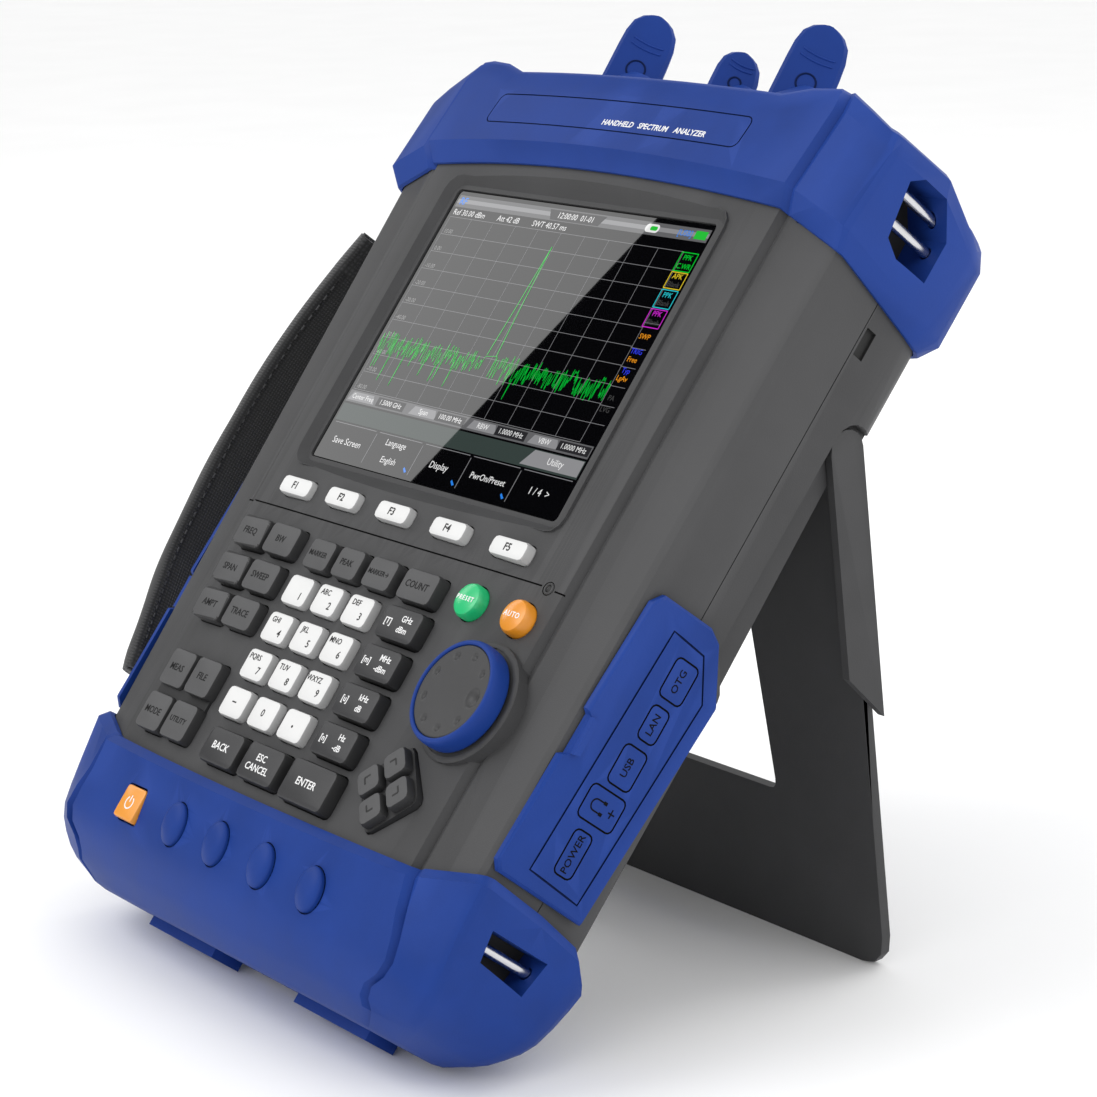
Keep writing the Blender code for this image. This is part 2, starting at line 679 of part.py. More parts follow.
def make_top_bumper(body):
    rings = [
        section_ring(top_lip, *RIM_INNER),
        section_ring(top_lip, 98.2, 1.1, BACK - 1.2),
        section_ring(lifted(top_lip, 5.0), BUMPER_HALF, BUMPER_FRONT, BUMPER_BACK),
        section_ring(lifted(top_edge, -7.0), BUMPER_HALF, 3.0, BUMPER_BACK),
        section_ring(lifted(top_edge, -1.6), 98.4, 2.0, -50.6),
        section_ring(top_edge, 95.8, 0.6, -48.6),
        section_ring(top_face, 92.0, -3.4, -45.0),
        section_ring(TOP_FACE, 84.0, -8.0, -40.0),
    ]
    bumper = loft_object("top_bumper", rings, blue_rubber(), body, smooth=True)
    combine(bumper, make_core(body, "top_core", -40.0, SHELL_TOP + GAP))
    combine(bumper, make_cutter("top_openings", body, opening_groups(TOP_OPENING, POCKET_FLOOR)))
    bars = [bar_rings(side, TOP_BAR_U, v, GAP) for side in (-1, 1) for v in TOP_BARS]
    combine(bumper, make_cutter("top_bar_sockets", body, bars))
    links = [link_rings(side, GAP) for side in (-1, 1)]
    combine(bumper, make_cutter("top_link_sockets", body, links))
    combine(bumper, bpy.data.objects["connector_bores"])


def link_rings(side, grow=0.0):
    """The crosspiece that makes the two top bars one bent staple."""
    low_v, high_v = TOP_BARS[1] - 1.2, TOP_BARS[0] + 1.2
    u = side * TOP_BAR_U
    low = (u - 1.2 - grow, low_v - grow, BAR_FRONT - 2.4 - grow)
    return block_rings(low, (u + 1.2 + grow, high_v + grow, BAR_FRONT + grow))


def make_bottom_bumper(body):
    rings = [
        section_ring(bottom_lip, *RIM_INNER),
        section_ring(bottom_lip, 99.2, 1.1, BACK - 1.6),
        section_ring(lifted(bottom_lip, -2.6), BUMPER_HALF + 0.6, 2.6, BUMPER_BACK),
        section_ring(-191.0, BUMPER_HALF, 1.0, BUMPER_BACK + 0.6, -2.4, 0.6),
        section_ring(-197.0, 100.5, 0.0, -49.6, -5.0, 1.2),
        section_ring(-202.5, 100.2, -1.0, -47.5, -6.6, 1.6),
        section_ring(-206.3, 98.8, -2.2, -45.6, -5.6, 1.7),
        section_ring(-209.5, 96.6, -3.8, -43.5, -2.0, 1.5),
        section_ring(-212.3, 93.9, -5.6, -41.8, 2.5, 1.0),
        section_ring(-214.5, 90.6, -7.6, -40.0, 6.0, 0.7),
        section_ring(BOTTOM_FACE + 0.6, 82.0, -12.6, -37.6, 8.5, 0.4),
        section_ring(BOTTOM_FACE, 78.0, -15.0, -36.6, 8.5, 0.3),
    ]
    bumper = loft_object("bottom_bumper", rings, blue_rubber(), body, smooth=True)
    pads = [
        block_rings(
            (min(side * PAD_INNER, side * PAD_OUTER), BOTTOM_FACE - PAD_RISE, PAD_BACK),
            (max(side * PAD_INNER, side * PAD_OUTER), BOTTOM_FACE + 3.0, PAD_FRONT),
        )
        for side in (-1, 1)
    ]
    combine(bumper, make_cutter("foot_pads", body, pads), "UNION")
    domes = [dome_rings(u) for u in DOME_U]
    combine(bumper, make_cutter("domes", body, domes), "UNION")
    combine(bumper, make_core(body, "bottom_core", SHELL_BOTTOM - GAP, -120.0))
    combine(bumper, make_cutter("boot_room", body, [boot_room()]))
    slots = opening_groups(BOTTOM_OPENING, BOTTOM_POCKET_FLOOR)
    combine(bumper, make_cutter("bottom_openings", body, slots))
    bars = [bar_rings(side, BOTTOM_BAR_U, BOTTOM_BAR, GAP) for side in (-1, 1)]
    combine(bumper, make_cutter("bottom_bar_sockets", body, bars))
    combine(bumper, bpy.data.objects["power_hole"])


def dome_rings(u):
    """A shallow oval dome on the bottom bumper's face."""
    base = panel_height(u)
    rings = []
    for share, rise in ((1.0, -3.0), (1.0, 1.0), (0.86, 1.7), (0.6, 2.2), (0.25, 2.45)):
        ring = []
        for x, y in circle(1.0, 16):
            forward = y * DOME_SIZE[1] * share
            ring.append((u + x * DOME_SIZE[0] * share, POWER_V + forward, base + rise + forward * DOME_TILT))
        rings.append(ring)
    return rings


# ---- small assemblies --------------------------------------------------------------------------------
def make_display(body):
    centre = (SCREEN_U, -SCREEN_H / 2)
    margin = 2 * WINDOW_MARGIN - 2 * GAP
    glass_outline = rounded_rectangle(SCREEN_W + margin, SCREEN_H + margin, 1.2)
    glass = material("display_glass", (0.02, 0.02, 0.025), 0.08)
    rings = [flat_ring(glass_outline, w, centre) for w in (-WINDOW_THICK, 0.0)]
    loft_object("display_window", rings, glass, body)
    frame = rounded_rectangle(SCREEN_W + 7.0, SCREEN_H + 7.0, 1.0, 1)
    rings = [flat_ring(frame, w, centre) for w in (-7.6, -2.4)]
    loft_object("lcd_module", rings, black_plastic(), body)


def make_inside(body):
    board = material("circuit_board", (0.02, 0.16, 0.06), 0.5)
    outline = rounded_rectangle(150.0, 186.0, 4.0, 2)
    rings = [flat_ring(outline, w, (0.0, -84.0)) for w in (-10.6, -9.0)]
    loft_object("main_board", rings, board, body)
    mat_outline = rounded_rectangle(138.0, 88.0, 4.0, 2)
    rings = [flat_ring(mat_outline, w, (0.5, -137.0)) for w in (-5.8, -4.2)]
    mat = loft_object("keypad_mat", rings, dark_rubber(), body)
    room = turned_rings([(11.0, w) for w in HOLE_RANGE], (KNOB_U, KNOB_V), 16)
    combine(mat, make_cutter("encoder_room", body, [room]))
    cell = rounded_rectangle(84.0, 86.0, 4.0, 2)
    rings = [flat_ring(cell, w, (0.0, -94.0)) for w in (-39.5, -17.0)]
    loft_object("battery_pack", rings, black_plastic(), body)


def make_battery_door(body):
    """Stands proud of the stand's pocket and shows in the stand's window."""
    outline = [(u, HINGE_V - t) for u, t in window_outline(1.6, 4.0)]
    inner = [(u, HINGE_V - t) for u, t in window_outline(2.4, 4.0)]
    floor = HINGE_W - STAND_BACK + STAND_THICK + 0.2
    rings = [flat_ring(outline, floor), flat_ring(outline, BACK + 1.0), flat_ring(inner, BACK + 0.2)]
    loft_object("battery_door", rings, grey_plastic(), body)


def connector_places():
    """Each RF connector: name, u, radius and height of its cap's tab."""
    return (
        ("left", -CAP_SPREAD, *LARGE_CAP),
        ("middle", CAP_MIDDLE, *SMALL_CAP),
        ("right", CAP_SPREAD, *LARGE_CAP),
    )


def make_connector_bores(body):
    bores = [
        rod_rings((u, 20.0, CAP_W), (u, 44.0, CAP_W), radius + GAP, 24)
        for _, u, radius, _ in connector_places()
    ]
    make_cutter("connector_bores", body, bores)


def make_rf_ports(body):
    """A coaxial connector through the top end, and the rubber cap pushed over it."""
    for name, u, radius, reach in connector_places():
        rings = [
            end_ring(circle(r, 24), v, (u, CAP_W))
            for r, v in ((radius, 22.0), (radius, 45.0), (radius - 0.6, 45.6))
        ]
        loft_object(f"rf_connector_{name}", rings, steel(), body, smooth=True)
        outer = radius + 3.4
        foot = TOP_FACE + GAP + 0.3
        profile = [(outer, foot), (outer, foot + 8.0), (outer - 0.8, foot + 11.0)]
        profile.append((radius - 3.0, foot + 17.0))
        rings = [end_ring(circle(r, 24), v, (u, CAP_W)) for r, v in profile]
        cap = loft_object(f"rf_cap_{name}", rings, blue_rubber(), body, smooth=True)
        tab = make_cutter(f"cap_tab_{name}", body, [cap_tab_rings(u, radius, reach)])
        combine(cap, tab, "UNION")
        hollow = [
            end_ring(circle(radius + 0.5, 24), v, (u, CAP_W)) for v in (foot - 3.0, foot + 9.8)
        ]
        combine(cap, make_cutter(f"cap_hollow_{name}", body, [hollow]))


def cap_tab_rings(u, radius, reach):
    """The pull tab: a flat tongue with a round tip, leaning a little towards the left of its cap."""
    half = radius * 0.55 + 3.2
    low, high = TOP_FACE + 6.0, TOP_FACE + reach
    across = Vector((math.cos(TAB_TURN), -math.sin(TAB_TURN)))
    normal = Vector((math.sin(TAB_TURN), math.cos(TAB_TURN)))
    heights = [(low, 1.12), (high - half * 1.6, 1.04)]
    for angle in (0.0, 0.5, 0.9, 1.2, 1.4):
        heights.append((high - half * (1 - math.sin(angle)), math.cos(angle)))
    rings = []
    for v, share in heights:
        lean = across * -(3.0 + 2.0 * (v - low) / (high - low))
        thick = TAB_THICK * (1.0 if share > 0.5 else 0.8)
        outline = rounded_rectangle(2 * half * share, thick, min(thick, 2 * half * share) * 0.3, 1)
        turned = [across * x + normal * y + lean for x, y in outline]
        rings.append(end_ring([tuple(point) for point in turned], v, (u, CAP_W)))
    return rings


def make_bars(body):
    for side, name in ((1, "right"), (-1, "left")):
        rings = bar_rings(side, TOP_BAR_U, TOP_BARS[0])
        staple = loft_object(f"bar_top_{name}", rings, steel(), body, smooth=True)
        other = make_cutter(f"bar_leg_{name}", body, [bar_rings(side, TOP_BAR_U, TOP_BARS[1])])
        combine(staple, other, "UNION")
        link = make_cutter(f"bar_link_{name}", body, [link_rings(side)])
        combine(staple, link, "UNION")
        rings = bar_rings(side, BOTTOM_BAR_U, BOTTOM_BAR)
        loft_object(f"bar_bottom_{name}", rings, steel(), body, smooth=True)


COVER_OUTLINE = (
    (-93.6, -10.0), (-93.4, -27.6), (-95.6, -32.2), (-109.0, -41.4), (-172.4, -37.0),
    (-171.6, -6.6), (-169.2, -4.4), (-140.0, -5.2), (-139.0, -7.0), (-128.2, -7.2), (-127.2, -5.8),
    (-96.8, -7.2),
)
COVER_MIDDLE = (-133.0, -22.0)
PORT_WINDOW = ((-101.4, -12.4), (-101.4, -28.6), (-109.4, -34.8), (-167.0, -30.4), (-166.4, -10.8))
PORTS = (
    (-109.1, 9.0, 4.0), (-121.5, 12.0, 8.0), (-133.7, 11.0, 5.0), (-145.6, 8.0, 8.0), (-158.2, 9.0, 9.0)
)
PORT_MIDDLE = -22.6


def drawn_in(outline, inset, middle):
    """An outline moved towards its middle by about the inset."""
    centre = Vector(middle)
    moved = []
    for point in outline:
        arm = Vector(point) - centre
        moved.append(tuple(centre + arm * (1 - inset / arm.length)))
    return moved


def side_slope(v, u):
    """Distance out at v of a face that lies parallel to the tapered side and is u out half way down."""
    return u * taper(v) / taper(-130.0)


def sloped_ring(outline, u, side=1):
    return [(side * side_slope(v, u), v, w) for v, w in outline]


def make_port_window(body):
    """The opening in the right side of both shells that the port panel fills."""
    rings = [sloped_ring(PORT_WINDOW, u) for u in (88.0, 102.0)]
    make_cutter("port_window", body, [rings])


def make_covers(body):
    """Each cover hangs on an empty that lies on its hinge line, at the cover's rear edge."""
    for side, name in ((1, "right"), (-1, "left")):
        line = Vector((side * side_slope(COVER_MIDDLE[0], COVER_IN), COVER_MIDDLE[0], COVER_HINGE)) * MM
        axis = bpy.data.objects.new(f"cover_axis_{name}", None)
        bpy.context.collection.objects.link(axis)
        axis.parent = body
        axis.location = line
        faces = ((COVER_IN, 0.0), (COVER_OUT - 0.7, 0.0), (COVER_OUT, 0.8))
        rings = [sloped_ring(drawn_in(COVER_OUTLINE, inset, COVER_MIDDLE), u, side) for u, inset in faces]
        cover = loft_object(f"port_cover_{name}", rings, blue_rubber(), axis)
        cover.location = -line
        lip = ((-138.6, -7.6), (-138.0, -9.6), (-129.0, -9.6), (-128.4, -7.6))
        ridge = [sloped_ring(lip, u, side) for u in (COVER_OUT - 1.0, COVER_OUT + 1.4)]
        combine(cover, make_cutter(f"cover_lip_{name}", body, [ridge]), "UNION")


def make_port_panel(body):
    """The dark plate behind the right cover, with a recess for each connector."""
    outline = drawn_in(PORT_WINDOW, 0.5, COVER_MIDDLE)
    rings = [sloped_ring(outline, u) for u in (89.0, COVER_IN - 0.5)]
    panel = loft_object("port_panel", rings, black_plastic(), body)
    sockets = [
        block_rings(
            (90.4, v - height / 2, PORT_MIDDLE - width / 2),
            (110.0, v + height / 2, PORT_MIDDLE + width / 2),
        )
        for v, width, height in PORTS
    ]
    combine(panel, make_cutter("port_sockets", body, sockets))


def make_knob(body, knob):
    """The dial turns on the encoder's shaft; its frame sits on that axis at the seat."""
    radius = KNOB_RADIUS
    profile = (
        (radius - 1.2, 0.5), (radius, 1.6), (radius + 0.1, 4.2), (radius - 0.3, 6.0), (radius - 1.1, 6.6),
        (radius - 1.5, 6.6), (radius - 1.9, 6.1), (4.0, 6.1),
    )
    rings = turned_rings(profile, (0.0, 0.0))
    dial = loft_object("jog_dial", rings, blue_rubber(), knob, smooth=True)
    shaft = turned_rings([(SHAFT_RADIUS, -4.0), (SHAFT_RADIUS, 1.5)], (0.0, 0.0), 16)
    combine(dial, make_cutter("dial_shaft", knob, [shaft]), "UNION")
    dimple = turned_rings([(2.6, 5.5), (3.2, 6.6)], (DIMPLE_REACH, 0.0), 16)
    combine(dial, make_cutter("dial_dimple", knob, [dimple]))
    outline = rounded_rectangle(13.0, 13.0, 0.8, 1)
    rings = [flat_ring(outline, w, (KNOB_U, KNOB_V)) for w in (-8.6, KNOB_SEAT - 4.6)]
    loft_object("encoder", rings, steel(), body)


def make_keys(body):
    dark = material("key_dark", (0.045, 0.045, 0.05), 0.65)
    first = {}
    for name, centre, (width, height) in key_specs():
        level = panel_height(centre[0])
        outline = key_outline(width, height)
        white = name[4:].isdigit() or name in LOWEST_ROW or name.startswith("key_f")
        rise = WHITE_RISE if white else KEY_RISE
        rings = soft_block_rings(outline, level - KEY_DEPTH, level + rise, 0.9, centre)
        if white:
            surface = white_rubber()
        else:
            surface = dark_rubber() if "pair" in name or "quad" in name or "row" in name else dark
        if name in first:
            extra = make_cutter(f"{name}_cap_{len(bpy.data.objects)}", body, [rings])
            combine(first[name], extra, "UNION")
        else:
            first[name] = loft_object(name, rings, surface, body)
    for name, centre, (width, height) in web_specs():
        base = panel_height(centre[0] + width / 2)
        outline = rounded_rectangle(width, height, 0.8, 1)
        rings = [flat_ring(outline, w, centre) for w in (base - 3.6, base + 0.6)]
        combine(first[name], make_cutter(f"{name}_web", body, [rings]), "UNION")


def make_round_keys(body):
    colours = {"preset": (0.02, 0.6, 0.22), "auto": (0.9, 0.36, 0.03)}
    for name, u in ROUND_KEYS:
        level = panel_height(u)
        profile = (
            (ROUND_RADIUS, level - KEY_DEPTH), (ROUND_RADIUS, level + WHITE_RISE - 0.5),
            (ROUND_RADIUS - 0.5, level + WHITE_RISE + 0.4), (ROUND_RADIUS - 1.8, level + WHITE_RISE + 0.9),
        )
        surface = material(f"key_{name}", colours[name], 0.4)
        loft_object(f"key_{name}", turned_rings(profile, (u, ROUND_V), 24), surface, body, smooth=True)


def make_arrow_pad(body):
    """Four caps round a diamond on one rubber base, moulded as one pad."""
    level = panel_height(ARROW_U)
    base_side = 2 * ARROW_REACH + ARROW_BASE
    turned = quarter_turned(rounded_rectangle(base_side, base_side, 2.2, 2))
    rings = [flat_ring(turned, w, (ARROW_U, ARROW_V)) for w in (level - KEY_DEPTH, level + 0.6)]
    pad = loft_object("key_arrows", rings, dark_rubber(), body)
    for number, (du, dv) in enumerate(((1, 0), (0, 1), (-1, 0), (0, -1))):
        centre = (ARROW_U + du * ARROW_REACH, ARROW_V + dv * ARROW_REACH)

        def cap_outline(inset):
            side = ARROW_SIZE - 2 * inset
            return quarter_turned(rounded_rectangle(side, side, 1.4, 2))

        cap = soft_block_rings(cap_outline, level - 1.0, level + KEY_RISE, 0.9, centre)
        combine(pad, make_cutter(f"arrow_cap_{number}", body, [cap]), "UNION")


def make_power_key(body):
    """The power key sits in a square well in the bottom bumper."""
    hole = rounded_rectangle(POWER_SIZE[0] + 1.0, POWER_SIZE[1] + 1.0, 1.0, 2)
    make_cutter("power_hole", body, [[flat_ring(hole, w, (POWER_U, POWER_V)) for w in (-0.2, 12.0)]])
    level = panel_height(POWER_U)
    rings = soft_block_rings(key_outline(*POWER_SIZE, 1.0), 1.3, level + 1.4, 0.7, (POWER_U, POWER_V))
    amber = material("key_power", (0.95, 0.45, 0.08), 0.4)
    loft_object("key_power", rings, amber, body)


# the hand strap: (u, v) of its middle line down the left side, and how thick it is there
STRAP_FRONT, STRAP_BACK = -10.0, -35.0
WEBBING_FRONT, WEBBING_BACK = -17.0, -31.0
STRAP_PATH = (
    (-98.8, 19.6, 1.6), (-101.4, 16.0, 1.6), (-105.4, 9.0, 1.8), (-108.4, -2.0, 2.0),
    (-110.6, -12.0, 5.4), (-115.6, -26.0, 6.0),
    (-121.2, -47.0, 6.0), (-123.6, -68.0, 6.0), (-123.8, -86.0, 6.0), (-122.2, -106.0, 6.0),
    (-119.6, -124.0, 6.0), (-114.4, -140.0, 6.0),
    (-110.0, -153.0, 6.4), (-107.0, -160.0, 5.4), (-103.2, -166.0, 2.0),
    (-100.0, -178.0, 1.8), (-98.0, -184.6, 1.6), (-95.0, -188.0, 1.6),
)


def make_hand_strap(body):
    """A padded band bowed out from the left side, thin where it turns in to the bars."""
    fabric = material("strap_fabric", (0.012, 0.012, 0.013), 0.85)
    rings = []
    for i, (u, v, thick) in enumerate(STRAP_PATH):
        before = STRAP_PATH[max(i - 1, 0)]
        after = STRAP_PATH[min(i + 1, len(STRAP_PATH) - 1)]
        along = Vector((after[0] - before[0], after[1] - before[1])).normalized()
        out = Vector((along[1], -along[0])) * thick / 2
        padded = thick > 3.0
        front, back = (STRAP_FRONT, STRAP_BACK) if padded else (WEBBING_FRONT, WEBBING_BACK)
        rings.append([
            (u + out[0], v + out[1], front), (u - out[0], v - out[1], front),
            (u - out[0], v - out[1], back), (u + out[0], v + out[1], back),
        ])
    loft_object("hand_strap", rings, fabric, body)


# ---- placing -----------------------------------------------------------------------------------------
def lean_angle():
    """The lean that puts the foot pads and the foot of the open stand on one level."""
    d_v, d_w = -math.cos(STAND_OPEN), -math.sin(STAND_OPEN)
    depth = -(STAND_BACK - STAND_THICK / 2)
    foot_v = HINGE_V + STAND_LENGTH * d_v + depth * math.sin(STAND_OPEN) * -1.0
    foot_w = HINGE_W + STAND_LENGTH * d_w + depth * math.cos(STAND_OPEN)
    pad_v, pad_w = BOTTOM_FACE - PAD_RISE, PAD_BACK
    return math.atan2(foot_v - pad_v, pad_w - foot_w)


def make_frames():
    """The tilted empty that carries the instrument, and one empty on each turning axis."""
    body = bpy.data.objects.new("instrument", None)
    bpy.context.collection.objects.link(body)
    body.rotation_euler = (math.pi / 2 - lean_angle(), 0.0, 0.0)
    hinge = bpy.data.objects.new("stand_axis", None)
    bpy.context.collection.objects.link(hinge)
    hinge.parent = body
    hinge.location = (0.0, HINGE_V * MM, HINGE_W * MM)
    hinge.rotation_euler = (STAND_OPEN, 0.0, 0.0)
    knob = bpy.data.objects.new("dial_axis", None)
    bpy.context.collection.objects.link(knob)
    knob.parent = body
    knob.location = (KNOB_U * MM, KNOB_V * MM, KNOB_SEAT * MM)
    return body, hinge, knob


def stand_on_floor(body):
    """Moves the whole instrument so that it rests on Z = 0 with its box centred on X and Y."""
    bpy.context.view_layer.update()
    graph = bpy.context.evaluated_depsgraph_get()
    low, high = Vector((1e9,) * 3), Vector((-1e9,) * 3)
    for obj in bpy.context.view_layer.objects:
        if obj.type != "MESH" or obj.hide_render:
            continue
        evaluated = obj.evaluated_get(graph)
        mesh = evaluated.to_mesh()
        for vertex in mesh.vertices:
            point = evaluated.matrix_world @ vertex.co
            for axis in range(3):
                low[axis] = min(low[axis], point[axis])
                high[axis] = max(high[axis], point[axis])
        evaluated.to_mesh_clear()
    middle = (low + high) / 2
    body.matrix_world = Matrix.Translation((-middle.x, -middle.y, -low.z)) @ body.matrix_world


def main():
    clear_scene()
    body, hinge, knob = make_frames()
    make_cutter("corner_notches", body, corner_notches())
    make_port_window(body)
    make_connector_bores(body)
    make_power_key(body)
    make_front_shell(body)
    make_rear_shell(body)
    make_top_bumper(body)
    make_bottom_bumper(body)
    make_display(body)
    make_inside(body)
    make_battery_door(body)
    make_kickstand(hinge)
    make_rf_ports(body)
    make_bars(body)
    make_covers(body)
    make_port_panel(body)
    make_knob(body, knob)
    make_keys(body)
    make_round_keys(body)
    make_arrow_pad(body)
    make_hand_strap(body)
    stand_on_floor(body)


main()
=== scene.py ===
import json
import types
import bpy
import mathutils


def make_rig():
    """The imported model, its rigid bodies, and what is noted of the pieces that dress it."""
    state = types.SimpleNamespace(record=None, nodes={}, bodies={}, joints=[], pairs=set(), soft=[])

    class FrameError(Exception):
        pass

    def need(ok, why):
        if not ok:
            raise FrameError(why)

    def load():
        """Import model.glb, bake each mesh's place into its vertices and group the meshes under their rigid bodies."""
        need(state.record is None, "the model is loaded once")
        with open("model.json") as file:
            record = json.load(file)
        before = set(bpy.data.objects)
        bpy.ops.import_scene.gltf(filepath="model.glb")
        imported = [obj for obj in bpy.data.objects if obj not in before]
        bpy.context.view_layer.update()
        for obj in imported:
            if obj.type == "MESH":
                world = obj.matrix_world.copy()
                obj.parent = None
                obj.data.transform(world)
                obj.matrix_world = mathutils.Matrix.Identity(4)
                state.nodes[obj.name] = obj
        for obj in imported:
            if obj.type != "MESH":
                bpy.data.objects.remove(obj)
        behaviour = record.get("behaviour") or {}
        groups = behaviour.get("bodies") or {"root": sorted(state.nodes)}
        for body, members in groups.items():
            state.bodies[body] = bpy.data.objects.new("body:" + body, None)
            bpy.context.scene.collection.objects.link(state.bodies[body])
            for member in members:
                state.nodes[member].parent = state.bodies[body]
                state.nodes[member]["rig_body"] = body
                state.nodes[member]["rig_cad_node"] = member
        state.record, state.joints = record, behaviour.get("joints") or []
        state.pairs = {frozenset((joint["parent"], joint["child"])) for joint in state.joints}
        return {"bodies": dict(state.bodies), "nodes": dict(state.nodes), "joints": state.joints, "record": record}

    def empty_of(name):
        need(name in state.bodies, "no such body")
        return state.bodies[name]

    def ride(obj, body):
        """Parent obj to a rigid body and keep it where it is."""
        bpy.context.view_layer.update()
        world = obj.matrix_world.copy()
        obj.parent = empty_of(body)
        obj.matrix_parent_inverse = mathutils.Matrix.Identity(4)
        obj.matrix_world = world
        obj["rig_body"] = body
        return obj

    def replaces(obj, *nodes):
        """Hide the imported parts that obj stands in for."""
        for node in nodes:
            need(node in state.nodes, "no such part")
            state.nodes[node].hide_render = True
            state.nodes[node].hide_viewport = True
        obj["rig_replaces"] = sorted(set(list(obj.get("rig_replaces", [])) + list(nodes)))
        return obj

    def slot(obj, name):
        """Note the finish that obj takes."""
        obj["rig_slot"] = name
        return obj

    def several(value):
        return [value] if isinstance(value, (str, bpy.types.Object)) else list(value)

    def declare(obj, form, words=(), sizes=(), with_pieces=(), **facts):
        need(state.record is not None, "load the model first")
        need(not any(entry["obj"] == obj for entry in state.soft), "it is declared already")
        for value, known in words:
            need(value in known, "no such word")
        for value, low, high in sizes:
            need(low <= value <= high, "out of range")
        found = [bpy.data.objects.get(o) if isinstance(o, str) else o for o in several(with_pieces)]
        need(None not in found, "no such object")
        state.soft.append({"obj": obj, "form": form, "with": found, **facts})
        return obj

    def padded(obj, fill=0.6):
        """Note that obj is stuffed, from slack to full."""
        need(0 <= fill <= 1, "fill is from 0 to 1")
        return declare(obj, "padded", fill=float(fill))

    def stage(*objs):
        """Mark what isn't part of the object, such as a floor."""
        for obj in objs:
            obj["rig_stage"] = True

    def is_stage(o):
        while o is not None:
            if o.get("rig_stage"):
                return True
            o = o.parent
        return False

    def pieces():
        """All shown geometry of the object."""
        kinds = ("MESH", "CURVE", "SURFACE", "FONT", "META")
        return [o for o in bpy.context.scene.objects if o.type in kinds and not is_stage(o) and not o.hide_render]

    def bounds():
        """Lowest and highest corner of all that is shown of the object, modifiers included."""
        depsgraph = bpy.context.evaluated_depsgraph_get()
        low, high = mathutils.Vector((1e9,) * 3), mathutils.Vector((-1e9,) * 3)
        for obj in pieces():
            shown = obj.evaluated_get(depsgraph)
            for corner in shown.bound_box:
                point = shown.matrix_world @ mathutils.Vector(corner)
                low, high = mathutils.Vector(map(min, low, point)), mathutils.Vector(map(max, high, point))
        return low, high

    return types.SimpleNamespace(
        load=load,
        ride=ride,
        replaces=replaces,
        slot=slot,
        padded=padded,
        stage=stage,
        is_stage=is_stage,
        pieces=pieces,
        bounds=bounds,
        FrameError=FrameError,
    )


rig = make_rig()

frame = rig.load()

import json
import math
import random

import bmesh
import bpy
from mathutils import Matrix, Vector, noise
from mathutils.bvhtree import BVHTree

cad_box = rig.bounds()

# ---- the instrument's own frame: u right, v up its face, w out of its display, in millimetres --------
MM = 0.001
JOINTS = {joint["name"]: joint for joint in frame["joints"]}
BODY = "instrument"
OUT = Vector(JOINTS["dial_turn"]["axis"]).normalized()
RIGHT = Vector((1.0, 0.0, 0.0))
UP = OUT.cross(RIGHT)
STAND_V, STAND_W = -35.0, -42.0  # where the kickstand's axis lies
ORIGIN = Vector(JOINTS["kickstand_hinge"]["pos_m"]) - (UP * STAND_V + OUT * STAND_W) * MM
TURN = Matrix((RIGHT, UP, OUT)).transposed()
TO_WORLD = Matrix.Translation(ORIGIN) @ TURN.to_4x4() @ Matrix.Scale(MM, 4)
TO_DEVICE = TO_WORLD.inverted()


def world(u, v, w):
    return TO_WORLD @ Vector((u, v, w))


def circle(count):
    """The cosine and sine of equal steps round a circle."""
    return [(math.cos(t), math.sin(t)) for t in (2 * math.pi * k / count for k in range(count))]


def add_object(name, data):
    made = bpy.data.objects.new(name, data)
    bpy.context.scene.collection.objects.link(made)
    return made


def baked(name, mesh):
    """Object data from a drawn mesh, which is freed."""
    data = bpy.data.meshes.new(name)
    mesh.to_mesh(data)
    mesh.free()
    return data


# ---- camera, light and floor
CAMERA_PLACE = (677.43, -224.52, 462.35)
CAMERA_RIGHT = (0.5849886, 0.4735981, -0.658402)
CAMERA_DOWN = (0.1758747, -0.8665568, -0.4670625)
CAMERA_FORWARD = (-0.7917426, 0.15743, -0.5902198)
CAMERA_LENS = 103.03
CAMERA_SHIFT = (0.0169, 0.0245)

# the window light: which way its mirror image's edge runs, where its corner lies, and the flag's half side
GLARE_EDGE = (0.2712285, 0.956352, 0.1087471)
GLARE_CORNER = (-393.3, 151.0, 304.0)
FLAG_HALF = 0.42


def add_camera():
    data = bpy.data.cameras.new("camera")
    camera = add_object("camera", data)
    right, down, forward = [TURN @ Vector(axis) for axis in (CAMERA_RIGHT, CAMERA_DOWN, CAMERA_FORWARD)]
    turn = Matrix((right, -down, -forward)).transposed()
    camera.matrix_world = Matrix.Translation(world(*CAMERA_PLACE)) @ turn.to_4x4()
    data.sensor_width = 36.0
    data.lens = CAMERA_LENS
    data.shift_x, data.shift_y = CAMERA_SHIFT
    data.clip_start = 0.01
    bpy.context.scene.camera = camera


def add_softbox(name, place, target, width, height, power):
    data = bpy.data.lights.new(name, "AREA")
    data.shape = "RECTANGLE"
    data.size, data.size_y = width, height
    data.energy = power
    light = add_object(name, data)
    light.location = place
    light.rotation_euler = (Vector(target) - Vector(place)).to_track_quat("-Z", "Y").to_euler()
    light.visible_camera = False
    return light


